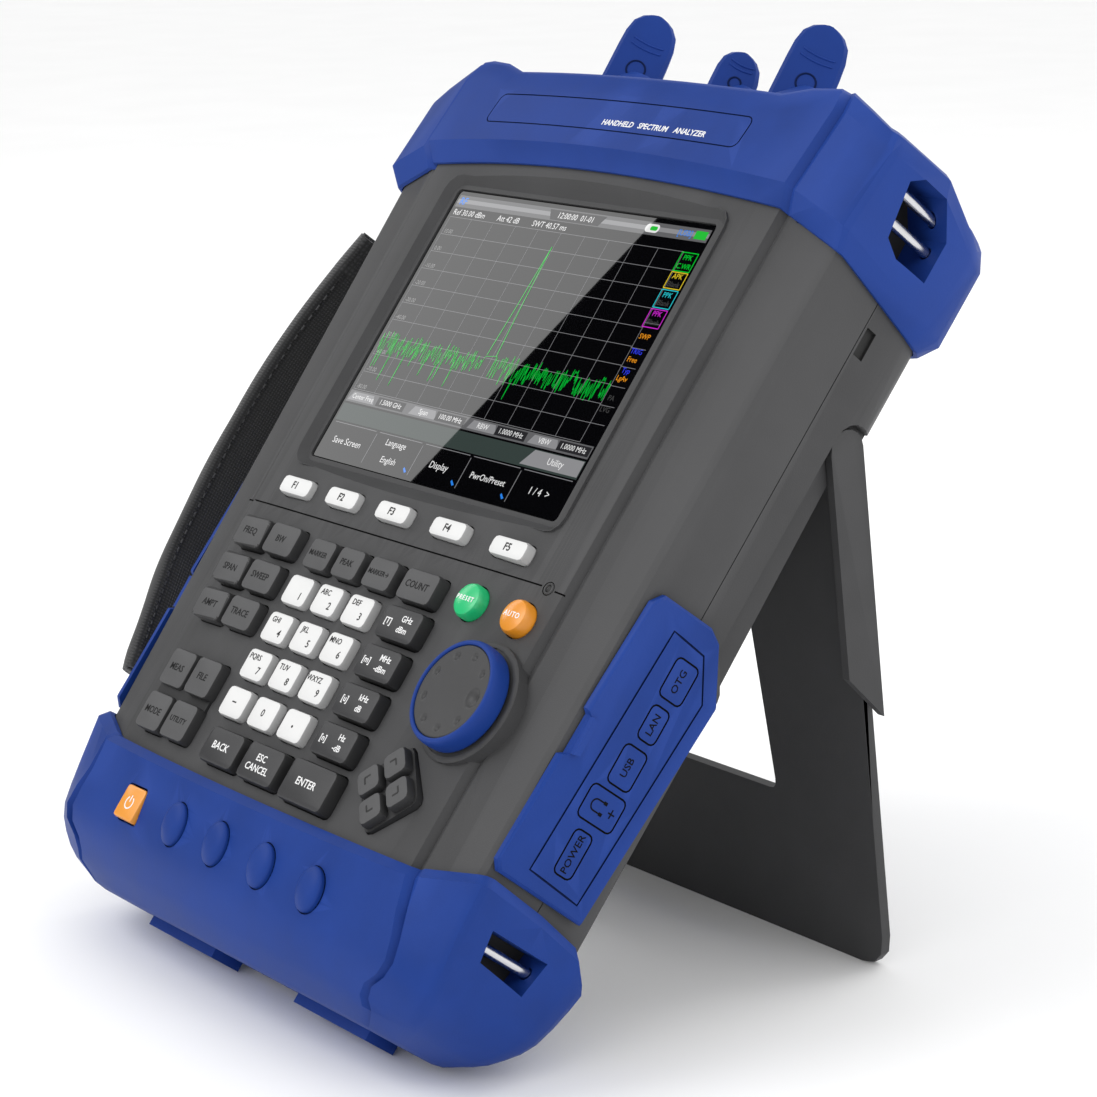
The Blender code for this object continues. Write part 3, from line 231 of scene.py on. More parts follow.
def add_window_light():
    """A tall softbox whose mirror image lies over the left of the display, with a dark flag behind it."""
    out = Vector((CAMERA_FORWARD[0], CAMERA_FORWARD[1], -CAMERA_FORWARD[2]))
    along = Vector(GLARE_EDGE)
    along = (along - out * along.dot(out)).normalized()
    across = out.cross(along)
    centre = Vector(GLARE_CORNER) + across * 75.0 - along * 90.0
    light = add_softbox("window_light", (0, 0, 0), (0, 0, -1), 0.36, 0.15, 0.42)
    light.visible_diffuse = False
    turn = Matrix((TURN @ along, TURN @ across, TURN @ out)).transposed().to_4x4()
    light.matrix_world = Matrix.Translation(TO_WORLD @ centre) @ turn
    mesh = bmesh.new()
    bmesh.ops.create_grid(mesh, x_segments=1, y_segments=1, size=FLAG_HALF)
    data = baked("dark_flag", mesh)
    data.materials.append(surface("flag_velvet", (0.004, 0.004, 0.004), 1.0, specular=0.0))
    flag = add_object("dark_flag", data)
    flag_centre = centre + out * 60.0 - along * 40.0 - across * 60.0
    flag.matrix_world = Matrix.Translation(TO_WORLD @ flag_centre) @ turn
    for ray in ("camera", "diffuse", "transmission", "shadow", "volume_scatter"):
        setattr(flag, f"visible_{ray}", False)
    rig.stage(flag)


def add_stage():
    scene = bpy.context.scene
    scene.view_settings.view_transform = "Standard"
    surroundings = bpy.data.worlds.new("studio")
    surroundings.use_nodes = True
    background = surroundings.node_tree.nodes["Background"]
    background.inputs["Color"].default_value = (1.0, 1.0, 1.0, 1.0)
    background.inputs["Strength"].default_value = 1.0
    scene.world = surroundings
    add_softbox("key_light", (-0.55, -1.0, 1.25), (0.0, 0.0, 0.12), 0.9, 0.9, 9.0)
    add_softbox("side_light", (1.5, 0.15, 0.9), (0.0, 0.0, 0.12), 0.8, 1.2, 3.0)
    add_softbox("back_light", (0.1, 1.2, 1.1), (0.0, 0.0, 0.15), 1.0, 0.7, 5.0)
    add_window_light()
    mesh = bmesh.new()
    bmesh.ops.create_circle(mesh, cap_ends=True, segments=96, radius=14.0)
    data = baked("floor", mesh)
    data.materials.append(
        surface("floor_paper", (0.95, 0.95, 0.95), 0.8, mottle=0.01, mottle_scale=9.0, specular=0.1)
    )
    floor = add_object("floor", data)
    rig.stage(floor)


# ---- materials
WEAR_FROM, WEAR_TO = 0.53, 0.62  # pointiness where an edge starts to look worn, and where it is fully worn


def set_values(node, values):
    """Sets numbers and colours on a node's own sockets."""
    for socket, value in values.items():
        node.inputs[socket].default_value = value
    return node


def start_material(name, values):
    """A new material, and its nodes, links and shader."""
    made = bpy.data.materials.new(name)
    made.use_nodes = True
    tree = made.node_tree
    return made, tree.nodes, tree.links, set_values(tree.nodes["Principled BSDF"], values)


def mapped(nodes, links, values):
    """Object coordinates through a mapping."""
    place = nodes.new("ShaderNodeTexCoord")
    mapping = set_values(nodes.new("ShaderNodeMapping"), values)
    links.new(place.outputs["Object"], mapping.inputs["Vector"])
    return mapping.outputs["Vector"]


def add_bump(nodes, links, height, shader, strength, distance):
    bump = set_values(nodes.new("ShaderNodeBump"), {"Strength": strength, "Distance": distance})
    links.new(height, bump.inputs["Height"])
    links.new(bump.outputs["Normal"], shader.inputs["Normal"])


def surface(
    name, colour, roughness, mottle=0.08, mottle_scale=60.0, grain=0.0, grain_scale=2500.0,
    metallic=0.0, coat=0.0, sheen=0.0, specular=0.5, stretch=(1.0, 1.0, 1.0), wear=0.0,
):
    """A moulded or cast surface: colour and gloss vary softly, and a fine grain lifts it."""
    made, nodes, links, shader = start_material(name, {
        "Metallic": metallic, "Coat Weight": coat, "Coat Roughness": 0.12, "Sheen Weight": sheen,
        "Specular IOR Level": specular,
    })
    place = mapped(nodes, links, {"Scale": stretch})
    cloud = set_values(nodes.new("ShaderNodeTexNoise"), {"Scale": mottle_scale, "Detail": 5.0})
    links.new(place, cloud.inputs["Vector"])
    ramp = nodes.new("ShaderNodeValToRGB")
    low, high = ramp.color_ramp.elements
    low.position, low.color = 0.3, (*[c * (1.0 - mottle) for c in colour], 1.0)
    high.position, high.color = 0.7, (*[min(c * (1.0 + mottle), 1.0) for c in colour], 1.0)
    links.new(cloud.outputs["Fac"], ramp.inputs["Fac"])
    tint = ramp.outputs["Color"]
    if wear:
        edge = nodes.new("ShaderNodeNewGeometry")
        worn = {"From Min": WEAR_FROM, "From Max": WEAR_TO, "To Max": wear}
        fine = set_values(nodes.new("ShaderNodeMapRange"), worn)
        links.new(edge.outputs["Pointiness"], fine.inputs["Value"])
        mix = nodes.new("ShaderNodeMix")
        mix.data_type = "RGBA"
        mix.inputs["B"].default_value = (*[min(c * 1.7 + 0.02, 1.0) for c in colour], 1.0)
        links.new(fine.outputs["Result"], mix.inputs["Factor"])
        links.new(tint, mix.inputs["A"])
        tint = mix.outputs["Result"]
    links.new(tint, shader.inputs["Base Color"])
    span = {"To Min": roughness * 0.88, "To Max": min(roughness * 1.12, 1.0)}
    gloss = set_values(nodes.new("ShaderNodeMapRange"), span)
    links.new(cloud.outputs["Fac"], gloss.inputs["Value"])
    links.new(gloss.outputs["Result"], shader.inputs["Roughness"])
    if grain:
        speck = set_values(nodes.new("ShaderNodeTexNoise"), {"Scale": grain_scale, "Detail": 3.0})
        links.new(place, speck.inputs["Vector"])
        add_bump(nodes, links, speck.outputs["Fac"], shader, grain, 0.0001)
    return made


def weave(name, colour, pitch):
    """A plain woven webbing: two sets of threads cross at the given pitch in metres."""
    made, nodes, links, shader = start_material(
        name, {"Roughness": 0.9, "Sheen Weight": 0.35, "Sheen Roughness": 0.5}
    )
    place = mapped(nodes, links, {"Rotation": (0.66, 0.0, 0.0)})
    both = nodes.new("ShaderNodeMath")
    both.operation = "MULTIPLY"
    for i, direction in enumerate("YZ"):
        threads = set_values(nodes.new("ShaderNodeTexWave"), {
            "Scale": 0.05 / pitch * 6.2, "Distortion": 0.6, "Detail Scale": 40.0,
        })
        threads.bands_direction = direction
        links.new(place, threads.inputs["Vector"])
        links.new(threads.outputs["Fac"], both.inputs[i])
    height = both.outputs["Value"]
    ramp = nodes.new("ShaderNodeValToRGB")
    for stop, share in zip(ramp.color_ramp.elements, (0.45, 1.6)):
        stop.color = (*[c * share for c in colour], 1.0)
    links.new(height, ramp.inputs["Fac"])
    links.new(ramp.outputs["Color"], shader.inputs["Base Color"])
    add_bump(nodes, links, height, shader, 0.6, 0.0003)
    return made


def lit(name, colour, strength=1.0):
    """Part of the lit picture behind the display's glass."""
    made = surface(name, (0.0015, 0.0015, 0.002), 0.012, mottle=0.1, specular=0.45)
    set_values(made.node_tree.nodes["Principled BSDF"], {
        "Emission Color": (*colour, 1.0), "Emission Strength": strength,
    })
    return made


def make_materials():
    """Each look by its name: the slots that the record names, then looks of the visual model alone."""
    return {
        "grey_plastic": surface(
            "grey_plastic_fine", (0.052, 0.052, 0.0535), 0.55, grain=0.35, specular=0.22, wear=0.25,
        ),
        "blue_rubber": surface(
            "blue_rubber_soft", (0.008, 0.038, 0.22), 0.5,
            grain=0.22, grain_scale=1800.0, specular=0.16, wear=0.2,
        ),
        "steel": surface(
            "steel_drawn", (0.62, 0.62, 0.64), 0.24, metallic=1.0, grain=0.15, stretch=(0.05, 1.0, 1.0),
        ),
        "black_plastic": surface("black_plastic_fine", (0.018, 0.018, 0.019), 0.45, grain=0.3),
        "dark_rubber": surface("rubber_mid", (0.08, 0.08, 0.082), 0.6, grain=0.25, specular=0.3),
        "white_rubber": surface("rubber_white", (0.68, 0.68, 0.675), 0.5, mottle=0.02, grain=0.12),
        "key_dark": surface("rubber_dark", (0.03, 0.03, 0.032), 0.5, grain=0.25),
        "key_preset": surface("key_green", (0.01, 0.5, 0.17), 0.35, mottle=0.04, coat=0.3),
        "key_auto": surface("key_orange", (0.75, 0.27, 0.012), 0.35, mottle=0.04, coat=0.3),
        "key_power": surface("key_amber", (0.78, 0.3, 0.03), 0.4, mottle=0.04, coat=0.2),
        "display_glass": surface(
            "display_glass_black", (0.0015, 0.0015, 0.002), 0.012, mottle=0.05, specular=0.45,
        ),
        "circuit_board": surface(
            "circuit_board_green", (0.015, 0.12, 0.05), 0.45, mottle=0.3, mottle_scale=300.0,
        ),
        "strap_fabric": weave("strap_weave", (0.014, 0.014, 0.015), 0.0009),
        "webbing": weave("webbing_weave", (0.02, 0.02, 0.021), 0.0013),
        "thread": surface("thread", (0.05, 0.05, 0.052), 0.8, sheen=0.3),
        "groove": surface("groove_shadow", (0.006, 0.006, 0.006), 0.8, specular=0.06),
        # near black for the floors and walls of openings, vents, wells and slots: painted shade
        "hollow": surface("hollow_black", (0.012, 0.012, 0.012), 0.7, grain=0.2),
        # a darker copy of the blue rubber for the walls of its grooves and the pull tabs' rings: painted shade
        "blue_painted_shade": surface("blue_rubber_groove", (0.003, 0.011, 0.06), 0.7, specular=0.1),
        "print_black": surface("print_black", (0.012, 0.012, 0.012), 0.55),
        "print_grey": surface("print_grey", (0.01, 0.01, 0.0105), 0.6, specular=0.2),
        "print_white": surface("print_white", (0.8, 0.8, 0.8), 0.5, mottle=0.02),
        "dial_grey": surface("dial_grey", (0.05, 0.05, 0.0515), 0.42, grain=0.25, specular=0.3),
        # darker copies of the key rubbers for their flanks and lower faces: painted shade where the sides fall in
        # shadow
        "rubber_side": surface("rubber_side", (0.018, 0.018, 0.019), 0.65, grain=0.25),
        "rubber_side_dark": surface("rubber_side_dark", (0.008, 0.008, 0.0085), 0.6, grain=0.25),
        "rubber_white_side": surface("rubber_white_side", (0.42, 0.42, 0.42), 0.55, mottle=0.03, grain=0.12),
        "brass": surface("brass_contacts", (0.75, 0.52, 0.2), 0.3, metallic=1.0),
    }


# ---- pieces
EDGE_ANGLE = 38.0  # faces that meet at more than this, in degrees, keep a crisp edge
KEY_TOP_DEPTH, KEY_TOP_SLOPE = 1.4, 0.6  # how deep a key's top look reaches, and how level its faces are; the rest of the key takes a darker copy of its look, a painted shade
# each key look's darker copy for the key's flanks: painted shade
PAINTED_FLANK_SHADES = {"dark_rubber": "rubber_side", "key_dark": "rubber_side_dark", "white_rubber": "rubber_white_side"}
FRONT_START, BACK_START, SIDE_START = 60.0, -120.0, 160.0  # where a probing line sets out


def shade(data, angle=EDGE_ANGLE):
    data.shade_smooth()
    data.set_sharp_from_angle(angle=math.radians(angle))


def finish_piece(name, mesh, look, body=BODY, slot=None, angle=EDGE_ANGLE, replaced=(), flank=None):
    """A mesh drawn in the instrument's millimetres becomes a piece that rides on its body; with a flank look, a key's
    flanks take painted shade.
    """
    bmesh.ops.remove_doubles(mesh, verts=mesh.verts, dist=1e-4)
    bmesh.ops.recalc_face_normals(mesh, faces=mesh.faces)
    # painted shade: a key's steep faces, and those below its top, take the darker flank look
    if flank:
        level = max(vert.co.z for vert in mesh.verts) - KEY_TOP_DEPTH
        for face in mesh.faces:
            face.material_index = int(face.normal.z < KEY_TOP_SLOPE or face.calc_center_median().z < level)
    bmesh.ops.transform(mesh, matrix=TO_WORLD, verts=mesh.verts)
    data = baked(name, mesh)
    shade(data, angle)
    data.materials.append(MATERIALS[look])
    if flank:
        data.materials.append(MATERIALS[flank])
    piece = add_object(name, data)
    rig.ride(piece, body)
    if replaced:
        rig.replaces(piece, *replaced)
    if slot:
        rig.slot(piece, slot)
    return piece


def node_mesh(node):
    """A CAD node's faces in the instrument's millimetres, joined where they meet."""
    mesh = bmesh.new()
    mesh.from_mesh(frame["nodes"][node].data)
    clean = bmesh.new()
    corners = [clean.verts.new(TO_DEVICE @ vert.co) for vert in mesh.verts]
    for face in mesh.faces:
        clean.faces.new([corners[vert.index] for vert in face.verts])
    mesh.free()
    bmesh.ops.remove_doubles(clean, verts=clean.verts, dist=1e-3)
    bmesh.ops.dissolve_degenerate(clean, edges=clean.edges, dist=1e-4)
    return clean


def node_body(node):
    return frame["nodes"][node]["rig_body"]


def cut(piece, tool_mesh, name, look="groove"):
    """Sinks a tool, drawn in the instrument's millimetres, into a piece; the walls take the look."""
    bmesh.ops.recalc_face_normals(tool_mesh, faces=tool_mesh.faces)
    bmesh.ops.transform(tool_mesh, matrix=TO_WORLD, verts=tool_mesh.verts)
    data = baked(name, tool_mesh)
    data.materials.append(MATERIALS[look])
    tool = add_object(name, data)
    step = piece.modifiers.new(name, "BOOLEAN")
    step.operation = "DIFFERENCE"
    step.solver = "EXACT"
    step.material_mode = "TRANSFER"
    step.object = tool
    graph = bpy.context.evaluated_depsgraph_get()
    result = bpy.data.meshes.new_from_object(piece.evaluated_get(graph))
    piece.modifiers.remove(step)
    piece.data = result
    shade(piece.data)
    bpy.data.objects.remove(tool)


def skin(node, bevel=0.0):
    """A CAD node's welded copy with its own finish, painted shade on a key's flanks, and rounded edges where asked."""
    slot = frame["nodes"][node].data.materials[0].name.split(".")[0]
    flank = PAINTED_FLANK_SHADES.get(slot) if "key" in node else None
    piece = finish_piece(
        f"{node}_skin", node_mesh(node), slot, node_body(node), slot, replaced=(node,), flank=flank
    )
    if bevel:
        soften(piece, bevel)
    return piece


def paint_shade(node, inside, look):
    """Paints shade on a skin: its faces take a darker look where the test on a place (u, v, w) holds."""
    data = SKINS[node].data
    data.materials.append(MATERIALS[look])
    index = len(data.materials) - 1
    for face in data.polygons:
        if inside(TO_DEVICE @ face.center):
            face.material_index = index


def soften(piece, width):
    """Rounds the edges of a piece."""
    step = piece.modifiers.new("soft_edges", "BEVEL")
    step.width = width * MM
    step.segments = 2
    step.limit_method = "ANGLE"
    step.angle_limit = math.radians(EDGE_ANGLE)
    step.harden_normals = True


def loft(mesh, rings, closed=False):
    """A skin over rings of points: capped at both ends or, where closed, joined end to end."""
    rows = [[mesh.verts.new(point) for point in ring] for ring in rings]
    count = len(rows[0])
    for low, high in zip(rows, rows[1:] + rows[:1] if closed else rows[1:]):
        for i in range(count):
            j = (i + 1) % count
            mesh.faces.new((low[i], low[j], high[j], high[i]))
    if not closed:
        mesh.faces.new(rows[0])
        mesh.faces.new(rows[-1])


def lofted(rings, closed=False):
    mesh = bmesh.new()
    loft(mesh, rings, closed)
    return mesh


def slab(mesh, u_range, v_range, w_range):
    """A thin closed block."""
    (u0, u1), (v0, v1) = u_range, v_range
    outline = ((u0, v0), (u1, v0), (u1, v1), (u0, v1))
    corners = [mesh.verts.new((u, v, w)) for w in w_range for u, v in outline]
    for face in ((0, 1, 2, 3), (7, 6, 5, 4), (0, 4, 5, 1), (1, 5, 6, 2), (2, 6, 7, 3), (3, 7, 4, 0)):
        mesh.faces.new([corners[i] for i in face])


def prism(mesh, outline, w_range):
    """A closed block over any outline of (u, v) points."""
    low = [mesh.verts.new((u, v, w_range[0])) for u, v in outline]
    high = [mesh.verts.new((u, v, w_range[1])) for u, v in outline]
    count = len(outline)
    mesh.faces.new(low)
    mesh.faces.new(high)
    for i in range(count):
        j = (i + 1) % count
        mesh.faces.new((low[i], low[j], high[j], high[i]))


def stroke(mesh, start, end, width, w_range):
    """A closed bar of the given width from one (u, v) point to another."""
    start, end = Vector(start), Vector(end)
    side = (end - start).normalized() * width / 2
    side = Vector((-side.y, side.x))
    prism(mesh, [tuple(start + side), tuple(start - side), tuple(end - side), tuple(end + side)], w_range)


def strokes(mesh, points, width, w_range):
    """Bars from each (u, v) point to the next."""
    for start, end in zip(points, points[1:]):
        stroke(mesh, start, end, width, w_range)


def letters(mesh, text, place, size, thick=0.06, align="CENTER", turn=None, bold=0.0):
    """Adds raised lettering that stands on a point, facing out of the display, or turned by a matrix."""
    data = bpy.data.curves.new("lettering", "FONT")
    data.body = text
    data.size = size
    data.align_x = align
    data.align_y = "CENTER"
    data.extrude = thick
    data.offset = bold
    data.resolution_u = 2
    holder = bpy.data.objects.new("lettering", data)
    drawn = bpy.data.meshes.new_from_object(holder)
    drawn.transform(Matrix.Translation(Vector(place)) @ (turn or Matrix.Identity(4)))
    mesh.from_mesh(drawn)
    bpy.data.objects.remove(holder)
    bpy.data.curves.remove(data)
    bpy.data.meshes.remove(drawn)


def rounded(width, height, radius, centre=(0.0, 0.0), steps=5):
    """A rectangle with rounded corners as (u, v) points."""
    points = []
    for sign_u, sign_v, start in ((1, 1, 0), (-1, 1, 90), (-1, -1, 180), (1, -1, 270)):
        middle = (centre[0] + sign_u * (width / 2 - radius), centre[1] + sign_v * (height / 2 - radius))
        for step in range(steps + 1):
            angle = math.radians(start + 90 * step / steps)
            points.append((middle[0] + radius * math.cos(angle), middle[1] + radius * math.sin(angle)))
    return points


class Probe:
    """Finds where a line meets a CAD node, in the instrument's millimetres."""

    def __init__(self, node):
        mesh = node_mesh(node)
        self.tree = BVHTree.FromBMesh(mesh)
        mesh.free()

    def hit(self, start, direction):
        return self.tree.ray_cast(Vector(start), Vector(direction).normalized())

    def top(self, u, v):
        found = self.hit((u, v, FRONT_START), (0, 0, -1))[0]
        return found.z if found else 0.0

    def back(self, u, v):
        return self.hit((u, v, BACK_START), (0, 0, 1))[0].z

    def seat(self, start, direction, along):
        """Where a line meets the node, and the turn that lays lettering flat there, reading along."""
        place, normal = self.hit(start, direction)[:2]
        along = Vector(along)
        along = (along - normal * along.dot(normal)).normalized()
        return place, Matrix((along, normal.cross(along), normal)).transposed().to_4x4()


MATERIALS = {}
add_camera()
add_stage()
MATERIALS.update(make_materials())

SOFT_EDGES = {
    "kickstand": 0.35, "rf_cap_left": 0.7, "rf_cap_middle": 0.6, "rf_cap_right": 0.7,
}
INSIDE = ("main_board", "battery_pack", "lcd_module", "keypad_mat", "encoder")
REDRAWN = (
    "hand_strap", "jog_dial", "display_window",
    "rf_connector_left", "rf_connector_middle", "rf_connector_right",
)
SKINS = {}
for node in sorted(frame["nodes"]):
    if node in INSIDE:
        data = frame["nodes"][node].data
        for i, look in enumerate(data.materials):
            data.materials[i] = MATERIALS[look.name.split(".")[0]]
    elif node not in REDRAWN:
        SKINS[node] = skin(node, SOFT_EDGES.get(node, 0.0))


# ---- display
SCREEN_U, SCREEN_W = -1.5, 112.9
LEFT, RIGHT_EDGE = SCREEN_U - SCREEN_W / 2, SCREEN_U + SCREEN_W / 2
PICTURE = (0.0, 0.03)  # w of the picture's underside and top
PEAK_U = -5.05
SCREEN_PRINT = 0.008  # how thick the picture's lettering is


def picture_piece(name, colour, draw, strength=1.0):
    """One colour of the lit picture."""
    MATERIALS[name] = lit(name, colour, strength)
    mesh = bmesh.new()
    draw(mesh)
    finish_piece(name, mesh, name, slot="display_glass")


def make_display():
    mesh = node_mesh("display_window")
    look = "display_glass"
    glass = finish_piece("display_pane", mesh, look, slot=look, replaced=("display_window",))
    step = glass.modifiers.new("soft_edges", "BEVEL")
    step.width = 0.2 * MM
    step.segments = 2
    low, high = PICTURE
    mid = high + 0.01
    top = mid + 0.01
    under, over = (low, high), (mid, top)
    grid_left, grid_right, grid_top, grid_low = LEFT + 0.6, LEFT + 0.6 + 106.0, -7.2, -63.9
    column, row = (grid_right - grid_left) / 10, (grid_top - grid_low) / 10

    def bars(mesh):
        slab(mesh, (LEFT, RIGHT_EDGE), (-3.9, -0.1), under)
        slab(mesh, (LEFT, RIGHT_EDGE), (-68.0, -64.3), under)

    def bright_bars(mesh):
        slab(mesh, (LEFT, RIGHT_EDGE), (-2.6, -1.3), (low, mid))
        for start in (0.5, 31.0, 59.0, 86.5):
            tab = ((start, -67.4), (start + 13.0, -67.4), (start + 11.5, -64.8), (start + 1.5, -64.8))
            prism(mesh, [(LEFT + u, v) for u, v in tab], (low, mid))
        tab = ((25.0, -73.4), (0.3, -73.4), (0.3, -68.8), (21.5, -68.8))
        prism(mesh, [(RIGHT_EDGE - u, v) for u, v in tab], (low, mid))

    def insets(mesh):
        prism(mesh, [(-14.5, -0.5), (11.0, -0.5), (9.0, -3.6), (-12.5, -3.6)], over)
        for start in (14.5, 43.5, 71.5, 99.0):
            slab(mesh, (LEFT + start, LEFT + start + 13.5), (-67.5, -64.7), over)

    def grid(mesh):
        for i in range(11):
            u = grid_left + i * column
            slab(mesh, (u - 0.07, u + 0.07), (grid_low, grid_top), under)
            v = grid_top - i * row
            slab(mesh, (grid_left, grid_right), (v - 0.07, v + 0.07), (low, high + 0.004))
        for i in range(1, 5):
            u = LEFT + i * SCREEN_W / 5
            slab(mesh, (u - 0.12, u + 0.12), (-84.4, -75.2), under)
        for i in range(5):
            u = LEFT + i * SCREEN_W / 5
            slab(mesh, (u + 0.9, u + SCREEN_W / 5 - 0.9), (-74.7, -74.5), (low, high + 0.004))
        for v in (-28.4, -35.9, -41.5, -47.2, -52.9, -58.2):
            slab(mesh, (RIGHT_EDGE - 6.6, RIGHT_EDGE - 0.4), (v - 0.07, v + 0.07), (low, high + 0.004))

    def trace(mesh):
        order = random.Random(11)
        points, steps = [], 420
        for i in range(steps + 1):
            u = grid_left + (grid_right - grid_left) * i / steps
            level = -48.6 + 1.9 * math.sin(i * 0.11) * 0.3 + order.uniform(-3.8, 3.4)
            if order.random() < 0.06:
                level -= order.uniform(3.0, 9.5)
            if abs(u - PEAK_U) >= 2.3:
                points.append((u, level))
        strokes(mesh, points, 0.16, over)
        for side in (-1, 1):
            slope = ((0.0, -11.6), (0.3, -18.0), (0.95, -30.0), (2.1, -46.0))
            flank = [(PEAK_U + side * reach, level) for reach, level in slope]
            strokes(mesh, flank, 0.3, (mid, top + 0.002))

    def menu_band(mesh):
        slab(mesh, (LEFT, RIGHT_EDGE), (-74.0, -68.6), under)

    def texts(entries, w):
        def draw(mesh):
            for text, u, v, size, *align in entries:
                letters(mesh, text, (u, v, w), size, SCREEN_PRINT, *align)
        return draw

    picture_piece("picture_bars", (0.12, 0.12, 0.125), bars)
    picture_piece("picture_bars_bright", (0.26, 0.26, 0.27), bright_bars)
    picture_piece("picture_insets", (0.02, 0.02, 0.022), insets)
    picture_piece("picture_grid", (0.2, 0.2, 0.21), grid)
    picture_piece("picture_trace", (0.0, 0.42, 0.03), trace, 1.2)
    picture_piece("picture_band", (0.035, 0.05, 0.045), menu_band)
    white = [
        ("12:00:00  01-01", -1.8, -2.1, 2.6), ("Ref 30.00 dBm", LEFT + 1.0, -5.6, 2.6, "LEFT"),
        ("Att 42 dB", LEFT + 22.5, -5.6, 2.6, "LEFT"), ("SWT 40.57 ms", LEFT + 39.0, -5.6, 2.6, "LEFT"),
        ("Center Freq", LEFT + 7.3, -66.1, 2.1), ("1.5000 GHz", LEFT + 21.2, -66.1, 2.2),
        ("Span", LEFT + 37.5, -66.1, 2.3), ("100.00 MHz", LEFT + 50.2, -66.1, 2.2),
        ("RBW", LEFT + 65.5, -66.1, 2.3), ("1.0000 MHz", LEFT + 78.2, -66.1, 2.2),
        ("VBW", LEFT + 93.0, -66.1, 2.3), ("1.0000 MHz", LEFT + 105.6, -66.1, 2.2),
        ("Utility", RIGHT_EDGE - 11.0, -71.1, 2.8),
        ("Save Screen", LEFT + 11.3, -79.8, 2.9), ("Language", LEFT + 33.5, -76.9, 2.7),
        ("English", LEFT + 33.9, -82.0, 2.7), ("Display", LEFT + 56.5, -79.8, 2.9),
        ("PwrOn/Preset", LEFT + 79.0, -79.8, 2.7), ("1 / 4  >", LEFT + 101.7, -79.8, 3.0),
    ]
    picture_piece("picture_text_white", (0.8, 0.8, 0.8), texts(white, top + 0.01))
    scale = [
        (f"{10 * (1 - i)}.00", grid_left + 0.8, grid_top - row * (i + 0.82), 1.9, "LEFT") for i in range(10)
    ]
    picture_piece("picture_text_grey", (0.3, 0.3, 0.3), texts(scale, high))
    right = RIGHT_EDGE - 3.5
    columns = (
        ("green", (0.0, 0.6, 0.03), ((-7.3, -12.8),), (("PPK", -8.8), ("C.WR", -11.4))),
        ("yellow", (0.75, 0.55, 0.02), ((-13.2, -18.0),), (("APK", -14.4),)),
        ("cyan", (0.02, 0.55, 0.62), ((-18.5, -23.8),), (("PPK", -20.0),)),
        ("magenta", (0.6, 0.02, 0.6), ((-24.3, -29.6),), (("PPK", -25.6),)),
        ("orange", (0.85, 0.3, 0.01), (), (("SWP", -32.4), ("Free", -39.2), ("LgAv", -44.8))),
        ("blue", (0.03, 0.05, 0.9), (), (("TRIG", -36.8), ("Typ", -42.5))),
        ("dim", (0.05, 0.05, 0.05), (), (
            ("Blank", -16.8), ("Blank", -22.4), ("Blank", -28.1), ("PA", -50.6), ("LVG", -54.0),
        )),
    )
    for name, colour, boxes, words in columns:
        def draw(mesh, boxes=boxes, words=words):
            for top_v, low_v in boxes:
                for v in (top_v, low_v):
                    slab(mesh, (right - 3.3, right + 3.3), (v - 0.12, v + 0.12), (low, high + 0.006))
                for u in (right - 3.3, right + 3.3):
                    slab(mesh, (u - 0.12, u + 0.12), (low_v, top_v), (low, high + 0.008))
            for text, v in words:
                letters(mesh, text, (right, v, high), 2.2, SCREEN_PRINT)
        picture_piece(f"picture_{name}", colour, draw)

    def status(mesh):
        prism(mesh, rounded(5.8, 2.5, 1.2, (31.5, -1.9)), over)
    picture_piece("picture_status_white", (0.8, 0.8, 0.8), status)

    def state_green(mesh):
        slab(mesh, (RIGHT_EDGE - 5.6, RIGHT_EDGE - 0.8), (-3.2, -0.8), over)
        prism(mesh, rounded(3.0, 1.3, 0.6, (32.2, -1.9)), (top, top + 0.01))
    picture_piece("picture_status_green", (0.02, 0.5, 0.04), state_green)

    def state_blue(mesh):
        letters(mesh, "RF", (LEFT + 1.2, -2.0, top), 3.2, SCREEN_PRINT, "LEFT", bold=0.05)
        letters(mesh, "[USB]", (RIGHT_EDGE - 9.6, -2.0, top), 2.5, SCREEN_PRINT)
        for i in (2, 3, 4):
            u = LEFT + i * SCREEN_W / 5 - 2.0
            prism(mesh, [(u - 0.8, -82.4), (u + 0.9, -83.6), (u + 0.2, -84.0), (u - 1.1, -82.9)], under)
    picture_piece("picture_status_blue", (0.02, 0.22, 0.8), state_blue)


make_display()


# ---- key legends
def legend(node, entries, look, size, bold=0.03):
    """Print on a key, riding with it: (text, u, v) and perhaps a size, at the height of the key's top."""
    probe = Probe(node)
    mesh = bmesh.new()
    for text, u, v, *own in entries:
        letters(mesh, text, (u, v, probe.top(u, v)), own[0] if own else size, 0.05, bold=bold)
    finish_piece(f"{node}_print", mesh, look, node_body(node))


